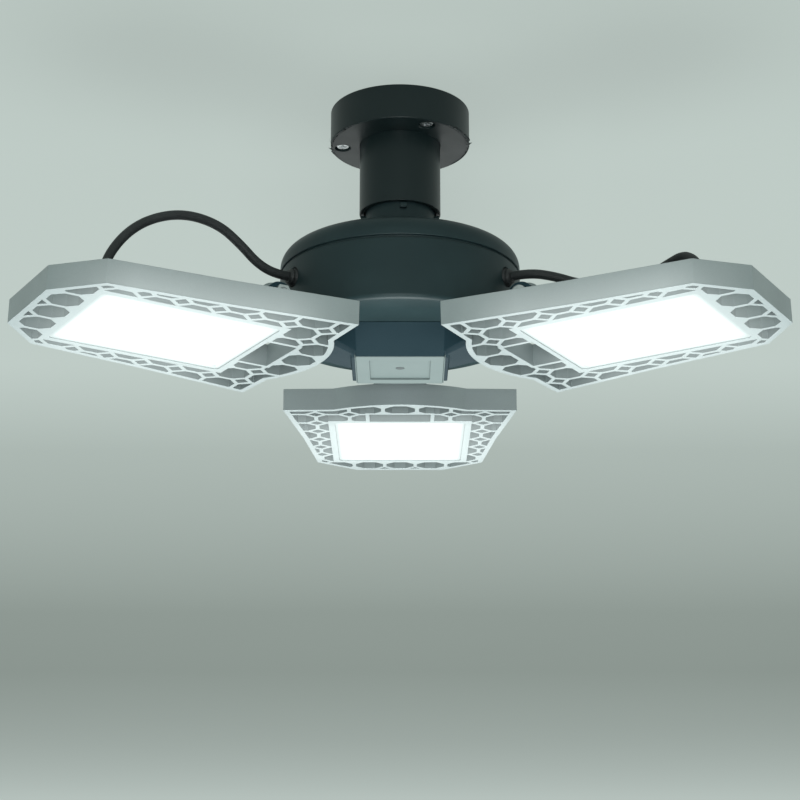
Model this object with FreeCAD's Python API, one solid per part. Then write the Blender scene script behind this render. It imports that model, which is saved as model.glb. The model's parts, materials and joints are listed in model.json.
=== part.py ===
import FreeCAD, Part
import math
import os

# Folding three-wing garage light, screwed into its surface lampholder.
# Millimetres. The origin is the centre of the lampholder's ceiling face, +Z is up,
# and the light hangs towards -Z. Each wing is drawn along +X (its length) and +Y
# (its width) and then turned about Z to its own direction.

# ---------------------------------------------------------------- driving dimensions
WING_DIRECTIONS = {"left": 210.0, "right": 330.0, "back": 90.0}
REST_TILT = 1.4
FIT_GAP = 0.3
TURN_GAP = 0.5

# Lampholder
FLANGE_RADIUS = 37.5
FLANGE_HEIGHT = 19.3
FLANGE_WALL = 2.4
FLANGE_FLOOR = 3.2
TUBE_RADIUS = 21.7
TUBE_WALL = 2.5
TUBE_BOTTOM_Z = -59.1
TUBE_COLLAR_RADIUS = 25.0
TUBE_COLLAR_HEIGHT = 2.6
MOUNT_SCREW_CIRCLE_RADIUS = 31.0
MOUNT_SCREW_COUNT = 3
MOUNT_SCREW_FIRST_ANGLE = 297.0
MOUNT_HOLE_RADIUS = 2.2
MOUNT_SHANK_GAP = 0.1
MOUNT_HEAD_RADIUS = 3.9
MOUNT_HEAD_HEIGHT = 2.6
MOUNT_RECESS_DEPTH = 3.4
MOUNT_SCREW_STANDOUT = 14.0
MOUNT_THREAD_RADIUS = 1.9
MOUNT_SHANK_STANDOUT = 0.2
BOSS_RADIUS = 5.6
BOSS_SHORTFALL = 1.5
CONTACT_BLOCK_HEIGHT = 7.0
SHELL_CONTACT_WALL = 0.6
SHELL_CONTACT_HEIGHT = 20.0
TONGUE_WIDTH = 7.0
TONGUE_LENGTH = 18.0
TONGUE_THICKNESS = 0.8
TERMINAL_LENGTH = 11.0
TERMINAL_WIDTH = 7.0
TERMINAL_HEIGHT = 7.5
TERMINAL_SPACING = 15.0
TERMINAL_SCREW_RADIUS = 1.9

# Lamp cap, neck and driver housing
CAP_CREST_RADIUS = 13.1
CAP_ROOT_RADIUS = 12.1
CAP_PITCH = 3.629
CAP_TURNS = 5
CAP_COLLAR_HEIGHT = 3.0
CAP_WALL = 0.5
INSULATOR_HEIGHT = 3.6
INSULATOR_TOP_RADIUS = 6.2
TIP_RADIUS = 4.8
TIP_HEIGHT = 1.2
TIP_Z = -24.6
NECK_RADIUS = 18.6
NECK_WALL = 3.0
NECK_FOOT_RADIUS = 24.0
DRUM_RADIUS = 63.4
DRUM_TOP_Z = -69.2
SHOULDER_RADIUS = 54.0
SHOULDER_Z = -82.2
DRUM_GROOVE_Z = -95.3
DRUM_GROOVE_DEPTH = 1.4
DRUM_GROOVE_HEIGHT = 1.6
DRUM_BOTTOM_Z = -128.6
DRUM_BOTTOM_FILLET = 3.0
DRUM_WALL = 2.4
DRUM_LIP_HEIGHT = 4.0
DRIVER_BOARD_RADIUS = 50.0
DRIVER_BOARD_THICKNESS = 1.6
DRIVER_STANDOFF_HEIGHT = 7.0
DRIVER_POST_CIRCLE_RADIUS = 44.0
DRIVER_POST_COUNT = 3
DRIVER_POST_RADIUS = 4.0
DRIVER_SCREW_RADIUS = 1.5

# Hub under the drum
HUB_TOP_HALF_X = 25.0
HUB_TOP_HALF_Y = 28.0
HUB_BOTTOM_HALF_X = 22.6
HUB_BOTTOM_HALF_Y = 23.0
HUB_BOTTOM_Z = -146.2
HUB_COVER_THICKNESS = 2.4
HUB_PANEL_LENGTH = 31.4
HUB_PANEL_WIDTH = 33.0
HUB_PANEL_DEPTH = 1.2
HUB_SCREW_RADIUS = 1.2
HUB_SCREW_HEAD_RADIUS = 2.3
HUB_SCREW_HEAD_HEIGHT = 0.6
HUB_SCREW_LENGTH = 8.0
ARM_HALF_WIDTH = 14.6
HUB_SIDE_HALF_X = 25.2
HUB_SIDE_HALF_Y = 20.5
HUB_SIDE_RISE = 0.6
ARM_ROOT_INSET = 3.0
ARM_ROOT_RISE = 0.9
ARM_ROOT_BACK_Y = 6.0
ARM_NECK_U = 46.0
ARM_NECK_RISES = {"left": 3.0, "right": 3.0, "back": 8.0}
ARM_BEVEL = 2.0

# Hinge between an arm and its wing
HINGE_U = 77.5
HINGE_Z = -122.5
KNUCKLE_RADIUS = 7.0
CHEEK_THICKNESS = 5.4
LUG_RADIUS = 8.6
LUG_FOOT_LENGTH = 10.0
LUG_FOOT_DEPTH = 6.0
LUG_BORE_GAP = 0.15
HINGE_SCREW_RADIUS = 2.5
HINGE_HEAD_RADIUS = 4.6
HINGE_HEAD_HEIGHT = 3.0
HINGE_NUT_ACROSS_FLATS = 8.0
HINGE_NUT_HEIGHT = 4.0
HINGE_WASHER_THICKNESS = 1.6
HINGE_SIDE_GAP = 0.2

# Wing casting
WING_BOTTOM_Z = -149.9
WING_DEPTH = 12.3
RIM_WALL = 3.0
WING_INNER_U = 59.2
WING_INNER_HALF = 64.5
WING_WAIST_U = 122.0
WING_WAIST_HALF = 56.2
WING_SHOULDER_U = 182.8
WING_SHOULDER_HALF = 50.4
WING_TIP_U = 203.0
WING_TIP_HALF = 27.0
NOSE_U = 47.5
NOSE_HALF = 37.0
NOSE_FOOT_U = 58.2
GRILLE_THICKNESS = 11.8
SMALLEST_CELL_AREA = 12.0
GRILLE_PITCH = 18.8
GRILLE_FIRST_U = 59.0
GRILLE_WEB = 2.3
GAP_START_U = 68.5
GAP_END_U = 84.5
GAP_HALF = 17.0
BOX_LENGTH = 97.0
BOX_HALF = 39.5
BOX_WALL = 2.6
BOX_CORNER = 5.0
BOX_LEDGE = 1.8
BOX_FLOOR = 2.4
BOX_TOP_Z = -139.5
FIN_COUNT = 9
FIN_THICKNESS = 1.6
FIN_HEIGHT = 7.0
FIN_START_U = 98.0
FIN_TO_GLAND = 4.4
FIN_SPREAD = 68.0

# Light source in each wing
LENS_THICKNESS = 2.0
LENS_RECESS = 0.5
GASKET_THICKNESS = 0.8
GASKET_WIDTH = 1.4
BOARD_THICKNESS = 1.6
BOARD_MARGIN = 1.0
LED_ROWS = 5
LED_COLUMNS = 8
LED_SIZE = 3.5
LED_HEIGHT = 0.8
LED_MARGIN = 9.0
BOARD_SCREW_RADIUS = 1.4
BOARD_SCREW_INSET = 5.0

# Leads between the drum and the wings
LEAD_RADIUS = 2.4
GLAND_RADIUS = 5.2
GLAND_FLANGE_RADIUS = 6.6
GLAND_FLANGE_THICKNESS = 1.8
DRUM_GLAND_REACH = 3.0
WING_GLAND_REACH = 6.0
DRUM_GLAND_Z = -106.0
WING_GLAND_U = 167.0

# ---------------------------------------------------------------- worked-out places
FLANGE_BOTTOM_Z = -FLANGE_HEIGHT
COLLAR_TOP_Z = FLANGE_BOTTOM_Z + FLANGE_FLOOR + TUBE_COLLAR_HEIGHT
TUBE_BORE_RADIUS = TUBE_RADIUS - TUBE_WALL
TIP_CLEAR_Z = TIP_Z + FIT_GAP
BLOCK_BOTTOM_Z = TIP_CLEAR_Z + TONGUE_THICKNESS
BLOCK_TOP_Z = BLOCK_BOTTOM_Z + CONTACT_BLOCK_HEIGHT
SHELL_CONTACT_RADIUS = CAP_CREST_RADIUS + FIT_GAP
CAP_TOP_Z = TIP_Z - TIP_HEIGHT - INSULATOR_HEIGHT
CAP_THREAD_BOTTOM_Z = CAP_TOP_Z - CAP_PITCH * CAP_TURNS
CAP_BOTTOM_Z = CAP_THREAD_BOTTOM_Z - CAP_COLLAR_HEIGHT
NECK_TOP_Z = CAP_BOTTOM_Z
GROOVE_BOTTOM_Z = DRUM_GROOVE_Z - DRUM_GROOVE_HEIGHT / 2
GROOVE_TOP_Z = DRUM_GROOVE_Z + DRUM_GROOVE_HEIGHT / 2
DRUM_FLOOR_Z = DRUM_BOTTOM_Z + DRUM_WALL
DRIVER_BOARD_Z = DRUM_FLOOR_Z + DRIVER_STANDOFF_HEIGHT
HUB_SCREW_SEAT_Z = HUB_BOTTOM_Z + HUB_PANEL_DEPTH + HUB_SCREW_HEAD_HEIGHT
WING_TOP_Z = WING_BOTTOM_Z + WING_DEPTH
GRILLE_TOP_Z = WING_BOTTOM_Z + GRILLE_THICKNESS
BOX_START_U = GAP_END_U
BOX_END_U = BOX_START_U + BOX_LENGTH
BOX_MID_U = (BOX_START_U + BOX_END_U) / 2
BOX_FLOOR_Z = BOX_TOP_Z - BOX_FLOOR
FIN_END_U = WING_GLAND_U - GLAND_FLANGE_RADIUS - FIN_TO_GLAND
LENS_BOTTOM_Z = WING_BOTTOM_Z + LENS_RECESS
LENS_TOP_Z = LENS_BOTTOM_Z + LENS_THICKNESS
LEDGE_Z = LENS_TOP_Z + GASKET_THICKNESS
BOARD_BOTTOM_Z = BOX_FLOOR_Z - BOARD_THICKNESS
ARM_CHANNEL_Z = WING_TOP_Z + TURN_GAP
CHEEK_INNER = ARM_HALF_WIDTH - CHEEK_THICKNESS
LUG_HALF = CHEEK_INNER - HINGE_WASHER_THICKNESS - HINGE_SIDE_GAP
FORK_START_U = HINGE_U - LUG_RADIUS - TURN_GAP

DOWN = FreeCAD.Vector(0, 0, -1)
UP = FreeCAD.Vector(0, 0, 1)
ALONG_U = FreeCAD.Vector(1, 0, 0)
ALONG_V = FreeCAD.Vector(0, 1, 0)
ORIGIN = FreeCAD.Vector(0, 0, 0)


# ---------------------------------------------------------------- drawing helpers
def at(x, y, z):
    return FreeCAD.Vector(x, y, z)


def cylinder(radius, bottom_z, top_z, x=0.0, y=0.0):
    return Part.makeCylinder(radius, top_z - bottom_z, at(x, y, bottom_z), UP)


def tube(outer_radius, inner_radius, bottom_z, top_z, x=0.0, y=0.0):
    outside = cylinder(outer_radius, bottom_z, top_z, x, y)
    return outside.cut(cylinder(inner_radius, bottom_z, top_z, x, y))


def cross_rod(radius, start_v, end_v, u, z):
    return Part.makeCylinder(radius, end_v - start_v, at(u, start_v, z), ALONG_V)


def block(start_x, end_x, start_y, end_y, bottom_z, top_z):
    corner = at(start_x, start_y, bottom_z)
    return Part.makeBox(end_x - start_x, end_y - start_y, top_z - bottom_z, corner)


def polygon_face(points):
    return Part.Face(Part.makePolygon(points + [points[0]]))


def revolved(profile):
    points = [at(radius, 0, z) for radius, z in profile]
    return polygon_face(points).revolve(ORIGIN, UP, 360)


def rounded_block(start_u, end_u, half_v, bottom_z, top_z, corner):
    slab = block(start_u, end_u, -half_v, half_v, bottom_z, top_z)
    upright = [e for e in slab.Edges if abs(e.tangentAt(e.FirstParameter).z) > 0.99]
    return slab.makeFillet(corner, upright)


def around(shape, count, first_angle=0.0):
    copies = []
    for index in range(count):
        copy = shape.copy()
        copy.rotate(ORIGIN, UP, first_angle + index * 360.0 / count)
        copies.append(copy)
    return copies


def turned(shape, angle):
    copy = shape.copy()
    copy.rotate(ORIGIN, UP, angle)
    return copy


def tilted_point(point):
    """Where a point of a level wing is when the wing stands at its rest tilt."""
    pin = at(HINGE_U, 0, HINGE_Z)
    return pin + FreeCAD.Rotation(ALONG_V, -REST_TILT).multVec(point - pin)


def placed(shape, angle):
    """A wing's piece at its rest tilt, turned to its wing's direction."""
    copy = shape.copy()
    copy.rotate(at(HINGE_U, 0, HINGE_Z), ALONG_V, -REST_TILT)
    copy.rotate(ORIGIN, UP, angle)
    return copy


def save(name, shape):
    shape.exportStep("parts/" + name + ".step")


# ---------------------------------------------------------------- lampholder
def mount_screw_places(shape):
    moved = shape.copy()
    moved.translate(at(MOUNT_SCREW_CIRCLE_RADIUS, 0, 0))
    return around(moved, MOUNT_SCREW_COUNT, MOUNT_SCREW_FIRST_ANGLE)


def make_ceiling_base():
    inner_radius = FLANGE_RADIUS - FLANGE_WALL
    floor_top_z = FLANGE_BOTTOM_Z + FLANGE_FLOOR
    cup = cylinder(FLANGE_RADIUS, FLANGE_BOTTOM_Z, 0)
    lower_edge = [e for e in cup.Edges if e.BoundBox.ZMax < FLANGE_BOTTOM_Z + 0.01]
    cup = cup.makeFillet(0.8, lower_edge)
    cup = cup.cut(cylinder(inner_radius, floor_top_z, 0))
    cup = cup.fuse(mount_screw_places(cylinder(BOSS_RADIUS, floor_top_z, -BOSS_SHORTFALL)))
    cup = cup.common(cylinder(FLANGE_RADIUS, FLANGE_BOTTOM_Z, 0))
    recess_top_z = FLANGE_BOTTOM_Z + MOUNT_RECESS_DEPTH
    cup = cup.cut(mount_screw_places(cylinder(MOUNT_HOLE_RADIUS, FLANGE_BOTTOM_Z, 0)))
    recess = cylinder(MOUNT_HEAD_RADIUS + FIT_GAP, FLANGE_BOTTOM_Z, recess_top_z)
    cup = cup.cut(mount_screw_places(recess))
    return cup.cut(cylinder(TUBE_RADIUS, FLANGE_BOTTOM_Z, floor_top_z)).removeSplitter()


def make_holder_tube():
    floor_top_z = FLANGE_BOTTOM_Z + FLANGE_FLOOR
    body = cylinder(TUBE_RADIUS, TUBE_BOTTOM_Z, COLLAR_TOP_Z)
    body = body.fuse(cylinder(TUBE_COLLAR_RADIUS, floor_top_z, COLLAR_TOP_Z))
    body = body.cut(cylinder(TUBE_BORE_RADIUS, TUBE_BOTTOM_Z, COLLAR_TOP_Z))
    return body.removeSplitter()


def make_contact_block():
    disc = cylinder(TUBE_BORE_RADIUS, BLOCK_BOTTOM_Z, BLOCK_TOP_Z)
    skirt_bottom_z = BLOCK_BOTTOM_Z - SHELL_CONTACT_HEIGHT / 2
    sleeve_radius = SHELL_CONTACT_RADIUS + SHELL_CONTACT_WALL
    skirt = tube(TUBE_BORE_RADIUS, sleeve_radius, skirt_bottom_z, BLOCK_BOTTOM_Z)
    return disc.fuse(skirt).removeSplitter()


def make_shell_contact():
    bottom_z = BLOCK_BOTTOM_Z - SHELL_CONTACT_HEIGHT
    outer_radius = SHELL_CONTACT_RADIUS + SHELL_CONTACT_WALL
    return tube(outer_radius, SHELL_CONTACT_RADIUS, bottom_z, BLOCK_BOTTOM_Z)


def make_centre_contact():
    half_length = TONGUE_LENGTH / 2
    half_width = TONGUE_WIDTH / 2
    return block(-half_length, half_length, -half_width, half_width, TIP_CLEAR_Z, BLOCK_BOTTOM_Z)


def terminal_places():
    return [-TERMINAL_SPACING / 2, TERMINAL_SPACING / 2]


def make_terminals():
    top_z = BLOCK_TOP_Z + TERMINAL_HEIGHT
    solids = []
    for place in terminal_places():
        half_width = TERMINAL_WIDTH / 2
        half_length = TERMINAL_LENGTH / 2
        clamp = block(place - half_width, place + half_width, -half_length, half_length, BLOCK_TOP_Z, top_z)
        wire_z = BLOCK_TOP_Z + TERMINAL_HEIGHT * 0.4
        clamp = clamp.cut(cross_rod(TERMINAL_SCREW_RADIUS, -half_length, half_length, place, wire_z))
        solids.append(clamp.cut(cylinder(TERMINAL_SCREW_RADIUS, wire_z, top_z, place, 0)))
    return Part.makeCompound(solids)


def make_terminal_screws():
    top_z = BLOCK_TOP_Z + TERMINAL_HEIGHT
    bottom_z = BLOCK_TOP_Z + TERMINAL_HEIGHT * 0.4 + TERMINAL_SCREW_RADIUS
    head_radius = TERMINAL_SCREW_RADIUS * 1.5
    solids = []
    for place in terminal_places():
        shank = cylinder(TERMINAL_SCREW_RADIUS, bottom_z, top_z, place, 0)
        solids.append(shank.fuse(cylinder(head_radius, top_z, top_z + 1.4, place, 0)).removeSplitter())
    return Part.makeCompound(solids)


def make_mounting_screws():
    seat_z = FLANGE_BOTTOM_Z + MOUNT_RECESS_DEPTH
    head = cylinder(MOUNT_HEAD_RADIUS, seat_z - MOUNT_HEAD_HEIGHT, seat_z)
    rounded = [e for e in head.Edges if e.BoundBox.ZMax < seat_z - MOUNT_HEAD_HEIGHT + 0.01]
    head = head.makeFillet(1.2, rounded)
    slot_half = MOUNT_HEAD_RADIUS * 0.55
    slot_top_z = seat_z - MOUNT_HEAD_HEIGHT + 1.2
    slot_width = 0.5
    for bar in (
        block(-slot_half, slot_half, -slot_width, slot_width, seat_z - MOUNT_HEAD_HEIGHT, slot_top_z),
        block(-slot_width, slot_width, -slot_half, slot_half, seat_z - MOUNT_HEAD_HEIGHT, slot_top_z),
    ):
        head = head.cut(bar)
    shank = cylinder(MOUNT_HOLE_RADIUS - MOUNT_SHANK_GAP, seat_z, MOUNT_SHANK_STANDOUT)
    thread = cylinder(MOUNT_THREAD_RADIUS, seat_z, MOUNT_SCREW_STANDOUT)
    return Part.makeCompound(mount_screw_places(head.fuse([shank, thread]).removeSplitter()))


# ---------------------------------------------------------------- lamp cap and neck
def thread_wave(root_radius, crest_radius, inner_radius):
    """A thin shell whose wall rises and falls once in each pitch."""
    outline = [at(inner_radius, 0, CAP_TOP_Z)]
    edges = []
    depth = crest_radius - root_radius
    start = at(root_radius, 0, CAP_TOP_Z)
    edges.append(Part.LineSegment(outline[0], start).toShape())
    for turn in range(CAP_TURNS):
        top_z = CAP_TOP_Z - turn * CAP_PITCH
        quarter = CAP_PITCH / 4
        middle = at(root_radius + depth / 2, 0, top_z - quarter)
        crest = at(crest_radius, 0, top_z - 2 * quarter)
        lower = at(root_radius + depth / 2, 0, top_z - 3 * quarter)
        end = at(root_radius, 0, top_z - 4 * quarter)
        edges.append(Part.LineSegment(start, middle).toShape())
        edges.append(Part.Arc(middle, crest, lower).toShape())
        edges.append(Part.LineSegment(lower, end).toShape())
        start = end
    collar_foot = at(root_radius, 0, CAP_BOTTOM_Z)
    inner_foot = at(inner_radius, 0, CAP_BOTTOM_Z)
    edges.append(Part.LineSegment(start, collar_foot).toShape())
    edges.append(Part.LineSegment(collar_foot, inner_foot).toShape())
    edges.append(Part.LineSegment(inner_foot, outline[0]).toShape())
    return Part.Face(Part.Wire(edges)).revolve(ORIGIN, UP, 360)


def make_screw_shell():
    return thread_wave(CAP_ROOT_RADIUS, CAP_CREST_RADIUS, CAP_ROOT_RADIUS - CAP_WALL)


def make_cap_insulator():
    return revolved([
        (0, CAP_TOP_Z),
        (CAP_ROOT_RADIUS - CAP_WALL, CAP_TOP_Z),
        (INSULATOR_TOP_RADIUS, CAP_TOP_Z + INSULATOR_HEIGHT),
        (0, CAP_TOP_Z + INSULATOR_HEIGHT),
    ])


def make_tip_contact():
    base_z = TIP_Z - TIP_HEIGHT
    return revolved([
        (0, base_z),
        (TIP_RADIUS, base_z),
        (TIP_RADIUS * 0.7, TIP_Z),
        (0, TIP_Z),
    ])


def make_neck():
    """Moulded neck: a plug inside the screw shell over a straight hollow barrel."""
    plug_radius = CAP_ROOT_RADIUS - CAP_WALL
    bore_radius = NECK_RADIUS - NECK_WALL
    return revolved([
        (plug_radius - NECK_WALL, CAP_TOP_Z),
        (plug_radius, CAP_TOP_Z),
        (plug_radius, NECK_TOP_Z),
        (NECK_RADIUS - 0.8, NECK_TOP_Z),
        (NECK_RADIUS, NECK_TOP_Z - 0.8),
        (NECK_RADIUS, DRUM_TOP_Z),
        (bore_radius, DRUM_TOP_Z),
        (bore_radius, NECK_TOP_Z - NECK_WALL),
        (plug_radius - NECK_WALL, NECK_TOP_Z - NECK_WALL),
    ])


# ---------------------------------------------------------------- driver housing
def dome_outline(inset, lowest_z):
    """Half section of the dome: crown by the neck, sloping shoulder, upright skirt."""
    crown = at(NECK_RADIUS - NECK_WALL, 0, DRUM_TOP_Z - inset)
    neck_foot = at(NECK_FOOT_RADIUS, 0, DRUM_TOP_Z - inset)
    shoulder = at(SHOULDER_RADIUS - inset, 0, SHOULDER_Z - inset)
    skirt_top = at(DRUM_RADIUS - inset, 0, SHOULDER_Z - (DRUM_RADIUS - SHOULDER_RADIUS) - inset)
    turn = math.radians(45)
    bend = at(
        skirt_top.x - (skirt_top.x - shoulder.x) * (1 - math.sin(turn)),
        0,
        shoulder.z - (shoulder.z - skirt_top.z) * (1 - math.cos(turn)),
    )
    skirt_foot = at(DRUM_RADIUS - inset, 0, lowest_z)
    return [
        Part.LineSegment(crown, neck_foot).toShape(),
        Part.LineSegment(neck_foot, shoulder).toShape(),
        Part.Arc(shoulder, bend, skirt_top).toShape(),
        Part.LineSegment(skirt_top, skirt_foot).toShape(),
    ], crown, skirt_foot


def closed_dome(inset, lowest_z):
    edges, crown, skirt_foot = dome_outline(inset, lowest_z)
    foot = at(crown.x, 0, lowest_z)
    edges.append(Part.LineSegment(skirt_foot, foot).toShape())
    edges.append(Part.LineSegment(foot, crown).toShape())
    return Part.Face(Part.Wire(edges)).revolve(ORIGIN, UP, 360)


def make_dome_cover():
    """Upper shell of the drum: a sunk groove ring, and a lip that drops inside the lower shell."""
    lip_bottom_z = GROOVE_BOTTOM_Z - DRUM_LIP_HEIGHT
    shell = closed_dome(0, GROOVE_TOP_Z).cut(closed_dome(DRUM_WALL, GROOVE_TOP_Z))
    lip_radius = DRUM_RADIUS - DRUM_WALL
    lip = tube(lip_radius, lip_radius - DRUM_WALL, lip_bottom_z, GROOVE_TOP_Z)
    groove_ring = tube(DRUM_RADIUS - DRUM_GROOVE_DEPTH, lip_radius, GROOVE_BOTTOM_Z, GROOVE_TOP_Z)
    return shell.fuse([lip, groove_ring]).removeSplitter()


def driver_posts(radius, bottom_z, top_z):
    post = cylinder(radius, bottom_z, top_z, DRIVER_POST_CIRCLE_RADIUS, 0)
    return around(post, DRIVER_POST_COUNT, 30.0)


def make_drum_body():
    """Lower shell of the drum: flat floor, upright wall and board posts."""
    outside = cylinder(DRUM_RADIUS, DRUM_BOTTOM_Z, GROOVE_BOTTOM_Z)
    lower_edge = [e for e in outside.Edges if e.BoundBox.ZMax < DRUM_BOTTOM_Z + 0.01]
    outside = outside.makeFillet(DRUM_BOTTOM_FILLET, lower_edge)
    shell = outside.cut(cylinder(DRUM_RADIUS - DRUM_WALL, DRUM_FLOOR_Z, GROOVE_BOTTOM_Z))
    shell = shell.fuse(driver_posts(DRIVER_POST_RADIUS, DRUM_FLOOR_Z, DRIVER_BOARD_Z))
    shell = shell.cut(driver_posts(DRIVER_SCREW_RADIUS, DRUM_FLOOR_Z, DRIVER_BOARD_Z))
    hole_z = DRUM_GLAND_Z
    hole = Part.makeCylinder(GLAND_RADIUS, DRUM_WALL * 3, at(DRUM_RADIUS - DRUM_WALL * 2, 0, hole_z), ALONG_U)
    return shell.cut(around(hole, len(WING_DIRECTIONS), 90.0)).removeSplitter()


def make_driver_board():
    board = cylinder(DRIVER_BOARD_RADIUS, DRIVER_BOARD_Z, DRIVER_BOARD_Z + DRIVER_BOARD_THICKNESS)
    holes = driver_posts(DRIVER_SCREW_RADIUS, DRIVER_BOARD_Z, DRIVER_BOARD_Z + DRIVER_BOARD_THICKNESS)
    return board.cut(holes)


def make_driver_parts():
    """Transformer, two capacitors and a heat-sinked switch, standing on the board."""
    base_z = DRIVER_BOARD_Z + DRIVER_BOARD_THICKNESS
    transformer = block(-11, 11, -9, 9, base_z, base_z + 17)
    tall_capacitor = cylinder(8.0, base_z, base_z + 20, 26, 4)
    small_capacitor = cylinder(5.0, base_z, base_z + 14, 8, -26)
    heat_sink = block(-34, -22, -3, 3, base_z, base_z + 16)
    choke = cylinder(7.0, base_z, base_z + 9, -14, 26)
    return Part.makeCompound([transformer, tall_capacitor, small_capacitor, heat_sink, choke])


def make_driver_screws():
    top_z = DRIVER_BOARD_Z + DRIVER_BOARD_THICKNESS
    shank = cylinder(DRIVER_SCREW_RADIUS, DRUM_FLOOR_Z + 1.0, top_z, DRIVER_POST_CIRCLE_RADIUS, 0)
    head = cylinder(DRIVER_SCREW_RADIUS * 1.8, top_z, top_z + 1.6, DRIVER_POST_CIRCLE_RADIUS, 0)
    return Part.makeCompound(around(shank.fuse(head).removeSplitter(), DRIVER_POST_COUNT, 30.0))


# ---------------------------------------------------------------- hub and arms
def rectangle_wire(half_x, half_y, z):
    corners = [at(half_x, half_y, z), at(-half_x, half_y, z), at(-half_x, -half_y, z), at(half_x, -half_y, z)]
    return Part.makePolygon(corners + [corners[0]])


def bevelled_section(corners):
    """Four-sided wire, given from top to top round the bottom, with its two lower corners cut off."""
    start, low_start, low_end, end = corners
    points = [start]
    for before, corner, after in ((start, low_start, low_end), (low_start, low_end, end)):
        back = before - corner
        ahead = after - corner
        points.append(corner + back.normalize() * ARM_BEVEL)
        points.append(corner + ahead.normalize() * ARM_BEVEL)
    points.append(end)
    return Part.makePolygon(points + [start])


def arm_root_section(name):
    """Section inside the hub's side that an arm grows from, seen along the arm."""
    top_z = DRUM_BOTTOM_Z
    low_z = HUB_BOTTOM_Z + ARM_ROOT_RISE
    side_x = HUB_BOTTOM_HALF_X - ARM_ROOT_INSET
    side_y = HUB_BOTTOM_HALF_Y - ARM_ROOT_INSET
    top_y = HUB_TOP_HALF_Y - ARM_ROOT_INSET
    if name == "back":
        corners = [at(side_x, side_y, top_z), at(side_x, side_y, low_z),
                   at(-side_x, side_y, low_z), at(-side_x, side_y, top_z)]
    elif name == "left":
        corners = [at(-side_x, ARM_ROOT_BACK_Y, top_z), at(-side_x, ARM_ROOT_BACK_Y, low_z),
                   at(-side_x, -side_y, low_z), at(-side_x, -top_y, top_z)]
    else:
        corners = [at(side_x, -top_y, top_z), at(side_x, -side_y, low_z),
                   at(side_x, ARM_ROOT_BACK_Y, low_z), at(side_x, ARM_ROOT_BACK_Y, top_z)]
    return bevelled_section(corners)


def arm_neck_section(name):
    """Section of an arm where it reaches the wing's inner end."""
    top_z = DRUM_BOTTOM_Z
    low_z = HUB_BOTTOM_Z + ARM_NECK_RISES[name]
    half = ARM_HALF_WIDTH
    corners = [at(ARM_NECK_U, -half, top_z), at(ARM_NECK_U, -half, low_z),
               at(ARM_NECK_U, half, low_z), at(ARM_NECK_U, half, top_z)]
    turn = FreeCAD.Rotation(UP, WING_DIRECTIONS[name])
    return bevelled_section([turn.multVec(corner) for corner in corners])


def make_arm_bar():
    """Outer half of an arm: a bar over the wing's rim that forks round the wing's lug."""
    slant = KNUCKLE_RADIUS * math.sin(math.radians(45))
    points = [
        at(ARM_NECK_U, 0, DRUM_BOTTOM_Z),
        at(ARM_NECK_U, 0, ARM_CHANNEL_Z),
        at(HINGE_U - KNUCKLE_RADIUS, 0, ARM_CHANNEL_Z),
        at(HINGE_U + slant, 0, HINGE_Z - slant),
        at(HINGE_U - slant, 0, HINGE_Z + slant),
        at(DRUM_RADIUS, 0, DRUM_BOTTOM_Z),
    ]
    bar = polygon_face(points).extrude(ALONG_V * (2 * ARM_HALF_WIDTH))
    bar.translate(ALONG_V * -ARM_HALF_WIDTH)
    bar = bar.fuse(cross_rod(KNUCKLE_RADIUS, -ARM_HALF_WIDTH, ARM_HALF_WIDTH, HINGE_U, HINGE_Z))
    slot_end_u = HINGE_U + KNUCKLE_RADIUS + TURN_GAP
    top_z = HINGE_Z + KNUCKLE_RADIUS + TURN_GAP
    slot = block(FORK_START_U, slot_end_u, -CHEEK_INNER, CHEEK_INNER, ARM_CHANNEL_Z - TURN_GAP, top_z)
    bore = cross_rod(HINGE_SCREW_RADIUS, -ARM_HALF_WIDTH, ARM_HALF_WIDTH, HINGE_U, HINGE_Z)
    return bar.cut([slot, bore])


def make_hub_bracket():
    """Dark casting: a tapered core under the drum with three arms that end in forks."""
    top = rectangle_wire(HUB_TOP_HALF_X, HUB_TOP_HALF_Y, DRUM_BOTTOM_Z)
    bottom = rectangle_wire(HUB_BOTTOM_HALF_X, HUB_BOTTOM_HALF_Y, HUB_BOTTOM_Z)
    core = Part.makeLoft([top, bottom], True, True)
    sides = block(
        -HUB_SIDE_HALF_X, HUB_SIDE_HALF_X, -HUB_SIDE_HALF_Y, HUB_SIDE_HALF_Y,
        HUB_BOTTOM_Z + HUB_SIDE_RISE, DRUM_BOTTOM_Z,
    )
    pieces = [sides]
    for name, angle in WING_DIRECTIONS.items():
        pieces.append(Part.makeLoft([arm_root_section(name), arm_neck_section(name)], True, True))
        pieces.append(turned(make_arm_bar(), angle))
    casting = core.fuse(pieces).cut(hub_cover_blank())
    screw_top_z = HUB_SCREW_SEAT_Z + HUB_SCREW_LENGTH
    return casting.cut(cylinder(HUB_SCREW_RADIUS, HUB_BOTTOM_Z, screw_top_z)).removeSplitter()


def hub_cover_blank():
    half_x = HUB_BOTTOM_HALF_X
    half_y = HUB_BOTTOM_HALF_Y
    return block(-half_x, half_x, -half_y, half_y, HUB_BOTTOM_Z, HUB_BOTTOM_Z + HUB_COVER_THICKNESS)


def make_hub_cover():
    """Plate that closes the hub from below, with a sunk panel and one screw."""
    panel_z = HUB_BOTTOM_Z + HUB_PANEL_DEPTH
    half_x = HUB_PANEL_LENGTH / 2
    half_y = HUB_PANEL_WIDTH / 2
    plate = hub_cover_blank().cut(block(-half_x, half_x, -half_y, half_y, HUB_BOTTOM_Z, panel_z))
    plate = plate.cut(cylinder(HUB_SCREW_RADIUS, panel_z, HUB_BOTTOM_Z + HUB_COVER_THICKNESS))
    return plate.cut(cylinder(HUB_SCREW_HEAD_RADIUS, panel_z, HUB_SCREW_SEAT_Z))


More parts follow.
